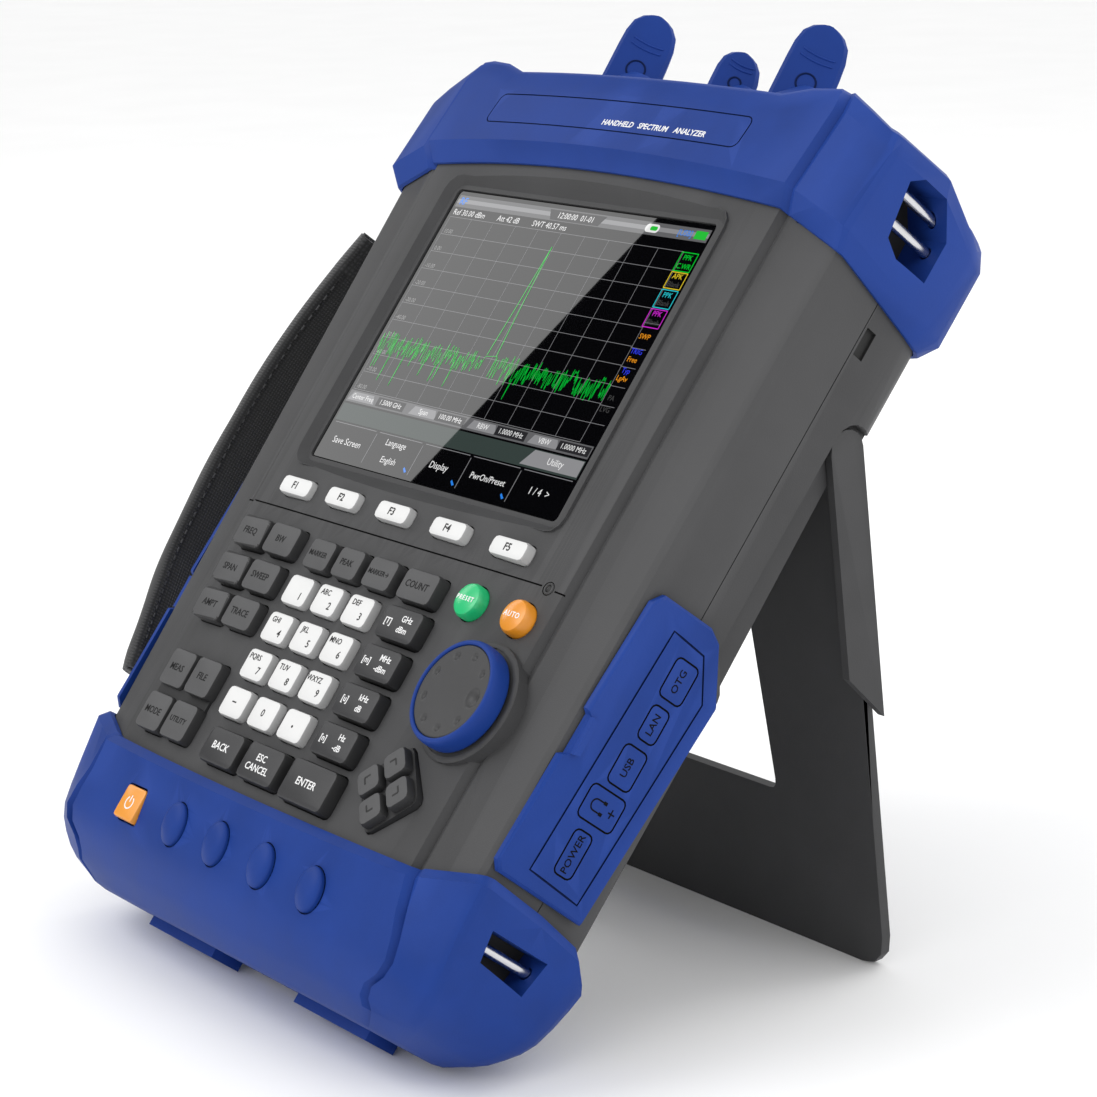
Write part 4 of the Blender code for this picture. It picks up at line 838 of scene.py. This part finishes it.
def make_legends():
    columns, rows = (-22.4, -7.4, 7.5), (-125.4, -136.8, -148.2, -159.6)
    groups = ("", "ABC", "DEF", "GHI", "JKL", "MNO", "PQRS", "TUV", "WXYZ")
    for i, group in enumerate(groups):
        u, v = columns[i % 3], rows[i // 3]
        entries = [(str(i + 1), u + 2.6, v - 1.5, 3.0)]
        if group:
            entries.append((group, u - 1.5, v + 2.0, 2.3))
        legend(f"key_{i + 1}", entries, "print_black", 3.0)
    legend("key_minus", [("–", columns[0], rows[3] + 0.2)], "print_black", 3.4, bold=0.08)
    legend("key_0", [("0", columns[1], rows[3])], "print_black", 3.0)
    legend("key_point", [(".", columns[2], rows[3] + 0.8)], "print_black", 4.4, bold=0.12)
    units = (
        ("giga", "[T]", "GHz", "dBm"), ("mega", "[m]", "MHz", "-dBm"), ("kilo", "[u]", "kHz", "dB"),
        ("base", "[n]", "Hz", "-dB"),
    )
    for (name, prefix, upper, lower), v in zip(units, rows):
        entries = [(prefix, 23.2, v), (upper, 30.6, v + 1.6), (lower, 30.4, v - 1.4)]
        legend(f"key_unit_{name}", entries, "print_white", 2.5)
    for i in range(5):
        legend(f"key_f{i + 1}", [(f"F{i + 1}", (i - 2) * 25.3 - 0.6, -97.2)], "print_black", 3.0, bold=0.06)
    pairs = (
        ("frequency", -113.4, "FREQ", "BW"), ("span", -125.0, "SPAN", "SWEEP"),
        ("amplitude", -136.4, "AMPT", "TRACE"),
    )
    for name, v, first, second in pairs:
        legend(f"key_pair_{name}", [(first, -59.2, v), (second, -41.6, v)], "print_grey", 2.8)
    quads = [
        ("MEAS", -57.2, -156.6), ("FILE", -42.1, -156.6), ("MODE", -57.2, -170.0),
        ("UTILITY", -42.1, -170.0, 2.3),
    ]
    legend("key_quad_system", quads, "print_grey", 2.8)
    row = [
        ("MARKER", -20.2, -114.4, 2.2), ("PEAK", -5.8, -114.4), ("MARKER→", 9.6, -114.4, 2.0),
        ("COUNT", 26.8, -114.4, 2.8),
    ]
    legend("key_row_marker", row, "print_grey", 2.5)
    legend("key_back", [("BACK", -15.8, -172.2)], "print_white", 3.0)
    legend("key_escape", [("ESC", 4.2, -170.8), ("CANCEL", 4.2, -173.8)], "print_white", 2.8)
    legend("key_enter", [("ENTER", 26.2, -172.2)], "print_white", 3.0)
    for name, u, size, pitch in (("preset", 46.2, 1.8, 1.2), ("auto", 64.6, 2.1, 1.6)):
        middle = (len(name) - 1) / 2
        spaced = [(letter, u + (k - middle) * pitch, -113.3) for k, letter in enumerate(name.upper())]
        legend(f"key_{name}", spaced, "print_white", size, bold=0.04)
    make_arrow_marks()
    make_power_mark()


def make_arrow_marks():
    middle, reach, arm, width = (52.9, -164.9), 6.4, 2.0, 0.5
    probe = Probe("key_arrows")
    mesh = bmesh.new()
    for du, dv in ((1, 0), (0, 1), (-1, 0), (0, -1)):
        centre = Vector((middle[0] + du * reach, middle[1] + dv * reach))
        tip = centre + Vector((du, dv)) * 1.1
        level = probe.top(*centre)
        for turn in (1, -1):
            side = Vector((-du - turn * dv, -dv + turn * du)).normalized() * arm
            stroke(mesh, tuple(tip), tuple(tip + side), width, (level - 0.04, level + 0.05))
    finish_piece("key_arrows_print", mesh, "print_black", node_body("key_arrows"))


def make_power_mark():
    u, v = -46.6, -195.4
    level = Probe("key_power").top(u, v)
    mesh = bmesh.new()
    steps, radius = 22, 1.75
    points = []
    for i in range(steps + 1):
        angle = math.radians(125 + 290 * i / steps)
        points.append((u + radius * math.cos(angle), v + radius * math.sin(angle)))
    strokes(mesh, points, 0.42, (level - 0.04, level + 0.05))
    stroke(mesh, (u, v + 0.2), (u, v + 2.1), 0.42, (level - 0.04, level + 0.052))
    finish_piece("key_power_print", mesh, "print_white", node_body("key_power"))


make_legends()


# ---- dial
DIAL_U, DIAL_V, DIAL_SEAT, DIAL_RADIUS, FACE_RADIUS = 63.0, -137.2, 2.2, 14.4, 12.7


def lathe(profile, centre, seat, segments=96):
    """A closed turned body from (radius, height) pairs, its first and last points capped."""
    return lofted([
        [(centre[0] + radius * c, centre[1] + radius * s, seat + height) for c, s in circle(segments)]
        for radius, height in profile
    ])


def dimple_depth(x, y, dimples):
    """How deep the dial's face is pressed in at a place: each dimple has a place, a radius and a depth."""
    depth = 0.0
    for reach, angle, radius, deep in dimples:
        away = math.hypot(x - reach * math.cos(angle), y - reach * math.sin(angle)) / radius
        if away < 1:
            depth = max(depth, deep * (1 - away * away) ** 0.8)
    return depth


def make_dial():
    """A rubber rim, and a dished face with one finger dimple and eight small ones."""
    r = DIAL_RADIUS
    rim = lathe((
        (r - 1.3, 0.5), (r - 0.5, 0.6), (r - 0.1, 1.0), (r, 1.6), (r + 0.08, 3.0), (r + 0.08, 4.4),
        (r - 0.1, 5.5), (r - 0.4, 6.2), (r - 0.8, 6.55), (r - 1.2, 6.6), (r - 1.45, 6.5), (r - 1.6, 6.2),
        (r - 1.6, 5.6), (r - 1.6, 3.8),
    ), (DIAL_U, DIAL_V), DIAL_SEAT)
    finish_piece("dial_rim", rim, "blue_rubber", "jog_dial", "blue_rubber", 50.0, ("jog_dial",))
    dimples = [(10.0, math.radians(40 * k), 1.05, 0.55) for k in range(1, 9)]
    dimples.append((8.7, 0.0, 2.5, 1.0))
    face = bmesh.new()
    rings, segments, top = 54, 160, 6.2
    centre = face.verts.new((DIAL_U, DIAL_V, DIAL_SEAT + top - 0.15))
    previous = None
    for k in range(1, rings + 1):
        radius = FACE_RADIUS * k / rings
        dish = -0.25 * (1 - (radius / FACE_RADIUS) ** 2)
        lift = 0.0 if k < rings else -0.3
        ring = []
        for c, s in circle(segments):
            x, y = radius * c, radius * s
            level = DIAL_SEAT + top + dish * 0.6 - dimple_depth(x, y, dimples) + lift
            ring.append(face.verts.new((DIAL_U + x, DIAL_V + y, level)))
        for i in range(segments):
            j = (i + 1) % segments
            if previous is None:
                face.faces.new((centre, ring[i], ring[j]))
            else:
                face.faces.new((previous[i], ring[i], ring[j], previous[j]))
        previous = ring
    base = [face.verts.new((vert.co.x, vert.co.y, DIAL_SEAT + 4.0)) for vert in previous]
    for i in range(segments):
        j = (i + 1) % segments
        face.faces.new((previous[i], base[i], base[j], previous[j]))
    face.faces.new(base)
    finish_piece("dial_face", face, "dial_grey", "jog_dial", "grey_plastic", 60.0)


make_dial()


# ---- strap
STRAP_PATH = (
    (-98.8, 19.6, 1.6), (-101.4, 16.0, 1.6), (-105.4, 9.0, 1.8), (-108.4, -2.0, 2.0),
    (-110.6, -12.0, 5.4), (-115.6, -26.0, 6.0), (-121.2, -47.0, 6.0), (-123.6, -68.0, 6.0),
    (-123.8, -86.0, 6.0), (-122.2, -106.0, 6.0), (-119.6, -124.0, 6.0), (-114.4, -140.0, 6.0),
    (-110.0, -153.0, 6.4), (-107.0, -160.0, 5.4), (-103.2, -166.0, 2.0),
    (-100.0, -178.0, 1.8), (-98.0, -184.6, 1.6), (-95.0, -188.0, 1.6),
)
PAD_FIRST, PAD_LAST = 4, 13  # where on the path the padding starts and ends
PAD_STEPS = 12  # steps between two points of the padded path
PAD_FRONT, PAD_BACK = -10.0, -35.0
WEBBING_FRONT, WEBBING_BACK = -17.0, -31.0


def smooth_path(points, steps):
    """A Catmull-Rom curve through the points, with the given number of steps between two of them."""
    made = []
    for i in range(len(points) - 1):
        p = [Vector(points[min(max(k, 0), len(points) - 1)]) for k in (i - 1, i, i + 1, i + 2)]
        for step in range(steps):
            t = step / steps
            made.append(
                ((-p[0] + 3 * p[1] - 3 * p[2] + p[3]) * t**3 + (2 * p[0] - 5 * p[1] + 4 * p[2] - p[3]) * t**2
                 + (p[2] - p[0]) * t) * 0.5 + p[1]
            )
    made.append(Vector(points[-1]))
    return made


def band(path, section):
    """A closed band: section(i, thick) gives (outwards, w) points round the path's middle line."""
    rings = []
    for i, point in enumerate(path):
        before, after = path[max(i - 1, 0)], path[min(i + 1, len(path) - 1)]
        along = Vector((after[0] - before[0], after[1] - before[1])).normalized()
        out = Vector((along[1], -along[0]))
        ring = section(i, point[2])
        rings.append([(point[0] + out[0] * offset, point[1] + out[1] * offset, w) for offset, w in ring])
    return lofted(rings)


def signed_power(value, power):
    """Squares off a circle's curve: a power of the size, with the sign kept."""
    return math.copysign(abs(value) ** power, value)


def webbing_section(i, thick):
    half, edge = thick * 0.9 / 2, 0.5
    return [
        (half, WEBBING_FRONT - edge), (half * 0.6, WEBBING_FRONT), (-half * 0.6, WEBBING_FRONT),
        (-half, WEBBING_FRONT - edge), (-half, WEBBING_BACK + edge), (-half * 0.6, WEBBING_BACK),
        (half * 0.6, WEBBING_BACK), (half, WEBBING_BACK + edge),
    ]


def make_strap():
    """A padded band with a seam near each edge, flat webbing and a cuff at its ends, and stitches."""
    pad_path = smooth_path(STRAP_PATH[PAD_FIRST:PAD_LAST + 1], PAD_STEPS)
    total = len(pad_path) - 1
    half_width, middle = (PAD_FRONT - PAD_BACK) / 2, (PAD_FRONT + PAD_BACK) / 2

    def pad_section(i, thick):
        share = i / total
        ends = min(1.0, 0.45 + 12.0 * min(share, 1 - share))
        points = []
        for c, s in circle(40):
            w = signed_power(c, 0.28) * half_width
            seam = 0.55 if 0.80 < abs(w) / half_width < 0.86 else 0.0
            puff = signed_power(s, 0.55) * (thick / 2 - seam) * ends
            wave = noise.noise(Vector((share * 9.0, w * 0.08, 2.0 if s > 0 else 7.0))) * 0.45
            points.append((puff + wave * min(1.0, abs(puff)), middle + w * (0.985 + 0.015 * ends)))
        return points

    def cuff_section(i, thick):
        half = thick / 2 + 0.15
        return [
            (signed_power(s, 0.45) * half, middle + signed_power(c, 0.3) * (half_width - 0.1))
            for c, s in circle(28)
        ]

    mesh = band(pad_path, pad_section)
    pad = finish_piece(
        "hand_strap_pad", mesh, "strap_fabric", slot="strap_fabric", angle=70.0, replaced=("hand_strap",)
    )
    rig.padded(pad, fill=0.6)
    for points, name in ((STRAP_PATH[:PAD_FIRST + 1], "top"), (STRAP_PATH[PAD_LAST:], "bottom")):
        points = [(u, v, min(thick, 1.9)) for u, v, thick in points]
        mesh = band(smooth_path(points, 8), webbing_section)
        finish_piece(f"hand_strap_webbing_{name}", mesh, "webbing", slot="strap_fabric", angle=50.0)
    for first, last, name in ((0, 1, "top"), (8, 9, "bottom")):
        mesh = band(pad_path[first * PAD_STEPS + 1:last * PAD_STEPS], cuff_section)
        finish_piece(f"hand_strap_cuff_{name}", mesh, "webbing", slot="strap_fabric", angle=60.0)
    stitches = bmesh.new()
    for w in (PAD_FRONT - 2.1, PAD_BACK + 2.1):
        for i in range(14, total - 14, 2):
            a, b = pad_path[i], pad_path[i + 1]
            along = Vector((b[0] - a[0], b[1] - a[1]))
            for side in (1, -1):
                out = Vector((along[1], -along[0])).normalized() * side * (a[2] / 2 - 0.35)
                start = Vector((a[0] + out[0], a[1] + out[1]))
                end = start + along * 0.9
                push = out.normalized() * 0.16
                corners = [tuple(p) for p in (start - push, end - push, end + push, start + push)]
                prism(stitches, corners, (w - 0.2, w + 0.2))
    finish_piece("hand_strap_stitching", stitches, "thread", slot="strap_fabric")


make_strap()


# ---- details on the housing
def ring_of(centre, normal, radius, thick):
    """A closed torus about a normal."""
    normal = Vector(normal).normalized()
    first = normal.orthogonal().normalized()
    second = normal.cross(first)
    rings = []
    for c, s in circle(40):
        spoke = first * c + second * s
        rings.append([
            Vector(centre) + spoke * (radius + thick * a) + normal * thick * b for a, b in circle(8)
        ])
    return lofted(rings, closed=True)


def swept_tool(points, ups, width, depth, closed):
    """A closed tool of rectangular section along surface points; ups are the outward directions there."""
    rings, count = [], len(points)
    corners = ((1, -depth), (1, 0.6), (-1, 0.6), (-1, -depth))
    for i, (point, up) in enumerate(zip(points, ups)):
        before = points[i - 1] if closed or i else point
        after = points[(i + 1) % count] if closed or i + 1 < count else point
        side = up.cross(after - before).normalized() * width / 2
        rings.append([point + side * a + up * b for a, b in corners])
    return lofted(rings, closed)


def resampled(outline, gap, closed=True):
    """Points no further apart than the gap along an outline."""
    made, count = [], len(outline)
    for i in range(count if closed else count - 1):
        a, b = Vector(outline[i]), Vector(outline[(i + 1) % count])
        steps = max(1, math.ceil((b - a).length / gap))
        made += [tuple(a + (b - a) * k / steps) for k in range(steps)]
    return made if closed else made + [tuple(outline[-1])]


def groove(node, name, outline, width=0.45, depth=0.35, closed=True, side=False, gap=4.0, look="groove"):
    """Sinks a fine line into a skin: the outline is (u, v) on the front, or (v, w) on the right side."""
    probe = Probe(node)
    points, ups = [], []
    for a, b in resampled(outline, gap, closed):
        start, direction = ((SIDE_START, a, b), (-1, 0, 0)) if side else ((a, b, FRONT_START), (0, 0, -1))
        place, normal = probe.hit(start, direction)[:2]
        points.append(place)
        ups.append(normal)
    cut(SKINS[node], swept_tool(points, ups, width, depth, closed), name, look)


RING_PLACE = (68.0, -103.4)


def make_face_groove():
    """A shallow groove across the panel that ends at a small ring."""
    line = [(-79.0 + 144.5 * i / 36, -103.2 - 0.9 * math.sin(math.pi * i / 36)) for i in range(37)]
    groove("front_shell", "face_groove", line, closed=False)
    groove("front_shell", "face_dash", [(70.4, -103.6), (74.0, -103.7)], closed=False)
    level = Probe("front_shell").top(*RING_PLACE)
    hole = lathe(((1.9, -0.5), (1.9, 3.0)), RING_PLACE, level, 32)
    cut(SKINS["front_shell"], hole, "ring_seat")
    ring = ring_of((*RING_PLACE, level - 0.15), (0, 0, 1), 1.35, 0.38)
    finish_piece("indicator_ring", ring, "dial_grey", slot="grey_plastic")
    lens = lathe(((0.9, -0.5), (0.9, -0.1), (0.7, 0.05), (0.3, 0.12)), RING_PLACE, level, 24)
    finish_piece("indicator_lens", lens, "print_black", slot="black_plastic")


COVER_FRAME = [(-99.6, -17.2), (-167.2, -14.2), (-168.6, -32.6), (-110.6, -36.4), (-100.4, -29.2)]
COVER_LABELS = (  # each box's centre in v and w, its size, and its word or, left empty, the headphone mark
    ((-109.2, -26.3), (10.7, 8.2), "OTG"), ((-121.5, -25.9), (9.3, 6.4), "LAN"),
    ((-133.8, -25.3), (10.6, 8.3), "USB"), ((-145.5, -24.5), (9.1, 12.5), ""),
    ((-158.6, -23.7), (12.2, 6.3), "POWER"),
)


def headphone_mark():
    """A headband over two cups, with a plus sign below."""
    icon = bmesh.new()
    turns = [math.pi * k / 10 for k in range(11)]
    arc = [(1.5, 0.0)] + [(1.5 * math.cos(t), 2.2 + 1.5 * math.sin(t)) for t in turns] + [(-1.5, 0.0)]
    strokes(icon, arc, 0.4, (-0.04, 0.05))
    for u in (1.5, -1.5):
        slab(icon, (u - 0.45, u + 0.45), (-1.0, 0.2), (-0.04, 0.055))
    stroke(icon, (0.0, -4.6), (0.0, -2.4), 0.4, (-0.04, 0.05))
    stroke(icon, (-1.2, -3.4), (1.2, -3.4), 0.4, (-0.04, 0.055))
    return icon


def make_cover_marks():
    """The frame and the label boxes sunk into the right cover, and their plain words."""
    # the frame's walls take a darker blue: painted shade
    groove("port_cover_right", "cover_frame", COVER_FRAME, 0.55, side=True, look="blue_painted_shade")
    for number, (centre, size, _) in enumerate(COVER_LABELS):
        outline = rounded(size[0], size[1], 1.6, centre, 3)
        groove("port_cover_right", f"cover_label_{number}", outline, 0.5, side=True)
    probe = Probe("port_cover_right")
    mesh = bmesh.new()
    for (v, w), _, word in COVER_LABELS:
        place, turn = probe.seat((SIDE_START, v, w), (-1, 0, 0), (0, 1, 0))
        if word:
            letters(mesh, word, place, 3.0, 0.05, turn=turn, bold=0.03)
            continue
        icon = headphone_mark()
        bmesh.ops.transform(icon, matrix=Matrix.Translation(place) @ turn, verts=icon.verts)
        mesh.from_mesh(baked("icon", icon))
    finish_piece("port_cover_right_print", mesh, "groove", node_body("port_cover_right"))


def make_bumper_label():
    """A shallow label field on the top bumper, with the instrument's kind in plain words."""
    outline = rounded(111.0, 9.8, 2.2, (0.0, 25.4), 4)
    # the field's outline takes a darker blue: painted shade
    groove("top_bumper", "label_field", outline, 0.4, 0.3, gap=5.0, look="blue_painted_shade")
    probe = Probe("top_bumper")
    mesh = bmesh.new()
    for text, u in (("HANDHELD", 6.4), ("SPECTRUM", 21.3), ("ANALYZER", 36.2)):
        place, turn = probe.seat((u, 23.0, FRONT_START), (0, 0, -1), (1, 0, 0))
        letters(mesh, text, place, 2.5, 0.07, turn=turn, bold=0.04)
    finish_piece("top_bumper_print", mesh, "print_white")


DOME_PLACES, DOME_V = (-21.4, 0.4, 22.4, 44.4), -195.4
DOME_TILT = 0.175
DOME_PROFILE = (  # share of the dome's half width, and rise
    (1.0, -0.8), (1.03, 0.1), (1.04, 0.8), (1.02, 1.15), (0.97, 1.42), (0.88, 1.75), (0.74, 2.08),
    (0.56, 2.34), (0.34, 2.5), (0.1, 2.56),
)


def make_domes():
    """Four crisp oval domes over the bottom bumper's own, each in a fine groove."""
    mesh = bmesh.new()
    for u in DOME_PLACES:
        base = 4.5 - u * u / 1440.0
        loft(mesh, [
            [
                (u + 4.65 * share * c, DOME_V + 5.65 * share * s, base + rise + DOME_TILT * 5.65 * share * s)
                for c, s in circle(48)
            ]
            for share, rise in DOME_PROFILE
        ])
    finish_piece("bumper_domes", mesh, "blue_rubber", slot="blue_rubber", angle=55.0)
    for number, u in enumerate(DOME_PLACES):
        outline = [(u + 5.0 * c, DOME_V + 6.0 * s) for c, s in circle(32)]
        # each dome's groove takes a darker blue: painted shade
        groove("bottom_bumper", f"dome_groove_{number}", outline, 0.45, 0.4, gap=2.0, look="blue_painted_shade")


RF_W = -22.0
# name, u and radius of each connector, v and radius of its tab's ring, half width and reach of the ridges
RF_PORTS = (
    ("left", -37.0, 8.0, 55.4, 2.7, 4.6, (6.4, 8.2)),
    ("middle", 8.5, 5.6, 53.6, 1.7, 3.4, (4.0, 5.4)),
    ("right", 37.0, 8.0, 55.4, 2.7, 4.6, (6.4, 8.2)),
)
THREAD_PITCH = 1.1
THREAD = ((0.0, -0.2), (0.4, 0.1), (0.4, 0.3), (0.0, 0.6))  # one turn: how far each point is sunk, and where
RIDGE_SECTION = ((-0.4, -0.15), (-0.1, 0.28), (0.1, 0.28), (0.4, -0.15))


def make_cap_marks():
    """A raised ring and two fine ridges on each pull tab, on the side that faces the display's right."""
    facing = Vector((math.sqrt(0.5), 0.0, math.sqrt(0.5)))
    across = Vector((math.sqrt(0.5), 0.0, -math.sqrt(0.5)))
    rise = Vector((0.0, 1.0, 0.0))
    for name, u, _, base, radius, half, reaches in RF_PORTS:
        node = f"rf_cap_{name}"
        middle = Vector((u, base, RF_W)) - across * 3.8 + facing * 1.8
        mesh = ring_of(middle - facing * 0.05, facing, radius, 0.3)
        # the ring is a darker blue: painted shade
        finish_piece(f"{node}_ring", mesh, "blue_painted_shade", node_body(node), "blue_rubber", 50.0)
        ridges = bmesh.new()
        for reach in reaches:
            centre = middle + rise * reach - across * 0.4
            rows = []
            for share in (k / 4 - 1 for k in range(9)):
                spot = centre + across * half * share + rise * 0.5 * share * share
                rows.append([spot + rise * a + facing * b for a, b in RIDGE_SECTION])
            loft(ridges, rows)
        finish_piece(f"{node}_ridges", ridges, "blue_rubber", node_body(node), "blue_rubber", 50.0)


def turned(profile, u, segments=48):
    """A closed turned body about a connector's line, which runs along v, from (radius, v) pairs."""
    spokes = circle(segments)
    return lofted([[(u + radius * c, v, RF_W + radius * s) for c, s in spokes] for radius, v in profile])


def make_connectors():
    """Under each cap: a threaded barrel with its insulator and centre contact."""
    for name, u, radius, *_ in RF_PORTS:
        node = f"rf_connector_{name}"
        profile = [(radius, 22.0), (radius, 38.8)]
        for v in (39.2 + THREAD_PITCH * k for k in range(5)):
            profile += [(radius - sink, v + rise) for sink, rise in THREAD]
        profile += [(radius, 45.0), (radius - 0.6, 45.6)]
        profile += [(radius * share, v) for share, v in ((0.64, 45.6), (0.62, 45.3), (0.62, 40.5))]
        finish_piece(f"{node}_barrel", turned(profile, u), "steel", slot="steel", replaced=(node,))
        ring = [(radius * share, v) for share, v in ((0.6, 40.6), (0.6, 42.0), (0.3, 42.0), (0.3, 41.0))]
        finish_piece(f"{node}_insulator", turned(ring, u), "print_white", slot="steel")
        pin = [(radius * share, v) for share, v in ((0.13, 41.1), (0.13, 43.8), (0.08, 44.2))]
        finish_piece(f"{node}_pin", turned(pin, u, 24), "brass", slot="steel")


# the recesses behind the right cover: v, width along w, height along v, and a round one's contact radius
PORTS = (
    (-109.1, 9.0, 4.0, 0.0), (-121.5, 12.0, 8.0, 0.0), (-133.7, 11.0, 5.0, 0.0), (-145.6, 8.0, 8.0, 1.2),
    (-158.2, 9.0, 9.0, 1.0),
)
PORT_W, PORT_FLOOR = -22.6, 90.2


def make_port_liners():
    """A metal liner in each recess behind the right cover, with a tongue and contacts or a round contact."""
    liners, tongues, contacts = bmesh.new(), bmesh.new(), bmesh.new()
    for v, width, height, reach in PORTS:
        half_v, half_w = height / 2, width / 2
        for side in (-1, 1):
            span_v = sorted((v + side * half_v, v + side * (half_v - 0.5)))
            slab(liners, (PORT_FLOOR, 92.4), span_v, (PORT_W - half_w, PORT_W + half_w))
            span_w = sorted((PORT_W + side * half_w, PORT_W + side * (half_w - 0.5)))
            slab(liners, (PORT_FLOOR, 92.4), (v - half_v + 0.5, v + half_v - 0.5), span_w)
        if reach:
            loft(contacts, [
                [(u, v + reach * c, PORT_W + reach * s) for c, s in circle(20)]
                for u in (PORT_FLOOR, 92.0)
            ])
            continue
        tongue = (PORT_W - half_w + 1.4, PORT_W + half_w - 1.4)
        slab(tongues, (PORT_FLOOR, 92.0), (v - 0.5, v + 0.5), tongue)
        for k in range(4):
            w = PORT_W + (k - 3 / 2) * (width - 4.6) / 3
            slab(contacts, (90.6, 92.1), (v + 0.45, v + 0.6), (w - 0.35, w + 0.35))
    finish_piece("port_liners", liners, "steel", slot="black_plastic")
    finish_piece("port_tongues", tongues, "black_plastic", slot="black_plastic")
    finish_piece("port_contacts", contacts, "brass", slot="black_plastic")


VENT_V = -14.0
SCREW_U = 72.0


def make_back_details():
    """A row of vents, two screws with crossed slots, and the battery door's grip on the back."""
    shell, door = Probe("rear_shell"), Probe("battery_door")
    for k in range(13):
        u = (k - 6) * 4.2
        level = shell.back(u, VENT_V)
        vent = bmesh.new()
        prism(vent, rounded(1.7, 13.0, 0.8, (u, VENT_V), 3), (level - 1.0, level + 1.1))
        # the vent's walls take a near-black look: painted shade
        cut(SKINS["rear_shell"], vent, f"vent_{k}", "hollow")
    for number, u in enumerate((-SCREW_U, SCREW_U)):
        level = shell.back(u, VENT_V)
        well = lathe(((3.6, -1.0), (3.6, 1.0)), (u, VENT_V), level, 40)
        # the well's walls take the same painted shade
        cut(SKINS["rear_shell"], well, f"screw_well_{number}", "hollow")
        head = lathe(((3.2, 1.2), (3.2, 0.5), (2.9, 0.2), (2.0, 0.1), (0.4, 0.08)), (u, VENT_V), level, 40)
        screw = finish_piece(f"screw_{number}", head, "steel", node_body("rear_shell"), "steel")
        for turn in (25.0, 115.0):
            slot = bmesh.new()
            angle = math.radians(turn)
            reach = Vector((math.cos(angle), math.sin(angle))) * 1.7
            middle = Vector((u, VENT_V))
            stroke(slot, tuple(middle - reach), tuple(middle + reach), 0.7, (level - 1.0, level + 0.8))
            cut(screw, slot, f"screw_slot_{number}_{int(turn)}")
    top_v = max(vert.co.y for vert in node_mesh("battery_door").verts)
    for k in range(5):
        v = top_v - 9.0 - 2.4 * k
        level = door.back(0.0, v)
        bar = bmesh.new()
        prism(bar, rounded(20.0 - 2.0 * abs(k - 2), 1.0, 0.45, (0.0, v), 3), (level - 1.0, level + 0.5))
        cut(SKINS["battery_door"], bar, f"door_grip_{k}")


make_face_groove()
make_cover_marks()
make_bumper_label()
make_domes()
make_cap_marks()
make_connectors()
make_port_liners()
make_back_details()


def in_top_pocket(place):
    """On the floor of a strap opening in the top bumper."""
    return abs(abs(place.x) - 86.5) < 0.3 and -36.0 < place.z < -8.0 and place.y < 27.0


def in_bottom_pocket(place):
    """On the floor of a strap opening in the bottom bumper."""
    return abs(abs(place.x) - 85.2) < 0.4 and -196.0 < place.y < -183.0 and place.z < -10.0


def in_side_latch(place):
    """In the small latch slot on either side of the rear shell."""
    return 95.1 < abs(place.x) < 96.6 and -15.9 < place.y < -7.9 and -29.7 < place.z < -25.5


# painted shade on the floors of the strap openings and in the side latch slots
paint_shade("top_bumper", in_top_pocket, "hollow")
paint_shade("bottom_bumper", in_bottom_pocket, "hollow")
paint_shade("rear_shell", in_side_latch, "hollow")
for node in ("top_bumper", "bottom_bumper", "port_cover_left", "port_cover_right"):
    soften(SKINS[node], 0.4)
soften(SKINS["battery_door"], 0.25)
for node in ("front_shell", "rear_shell", "battery_door", "top_bumper", "bottom_bumper", "port_cover_right"):
    even = SKINS[node].modifiers.new("even_shading", "WEIGHTED_NORMAL")
    even.keep_sharp = True

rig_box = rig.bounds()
with open("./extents.json", "w") as file:
    json.dump({"cad": [list(c) for c in cad_box], "visual": [list(c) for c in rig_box]}, file)
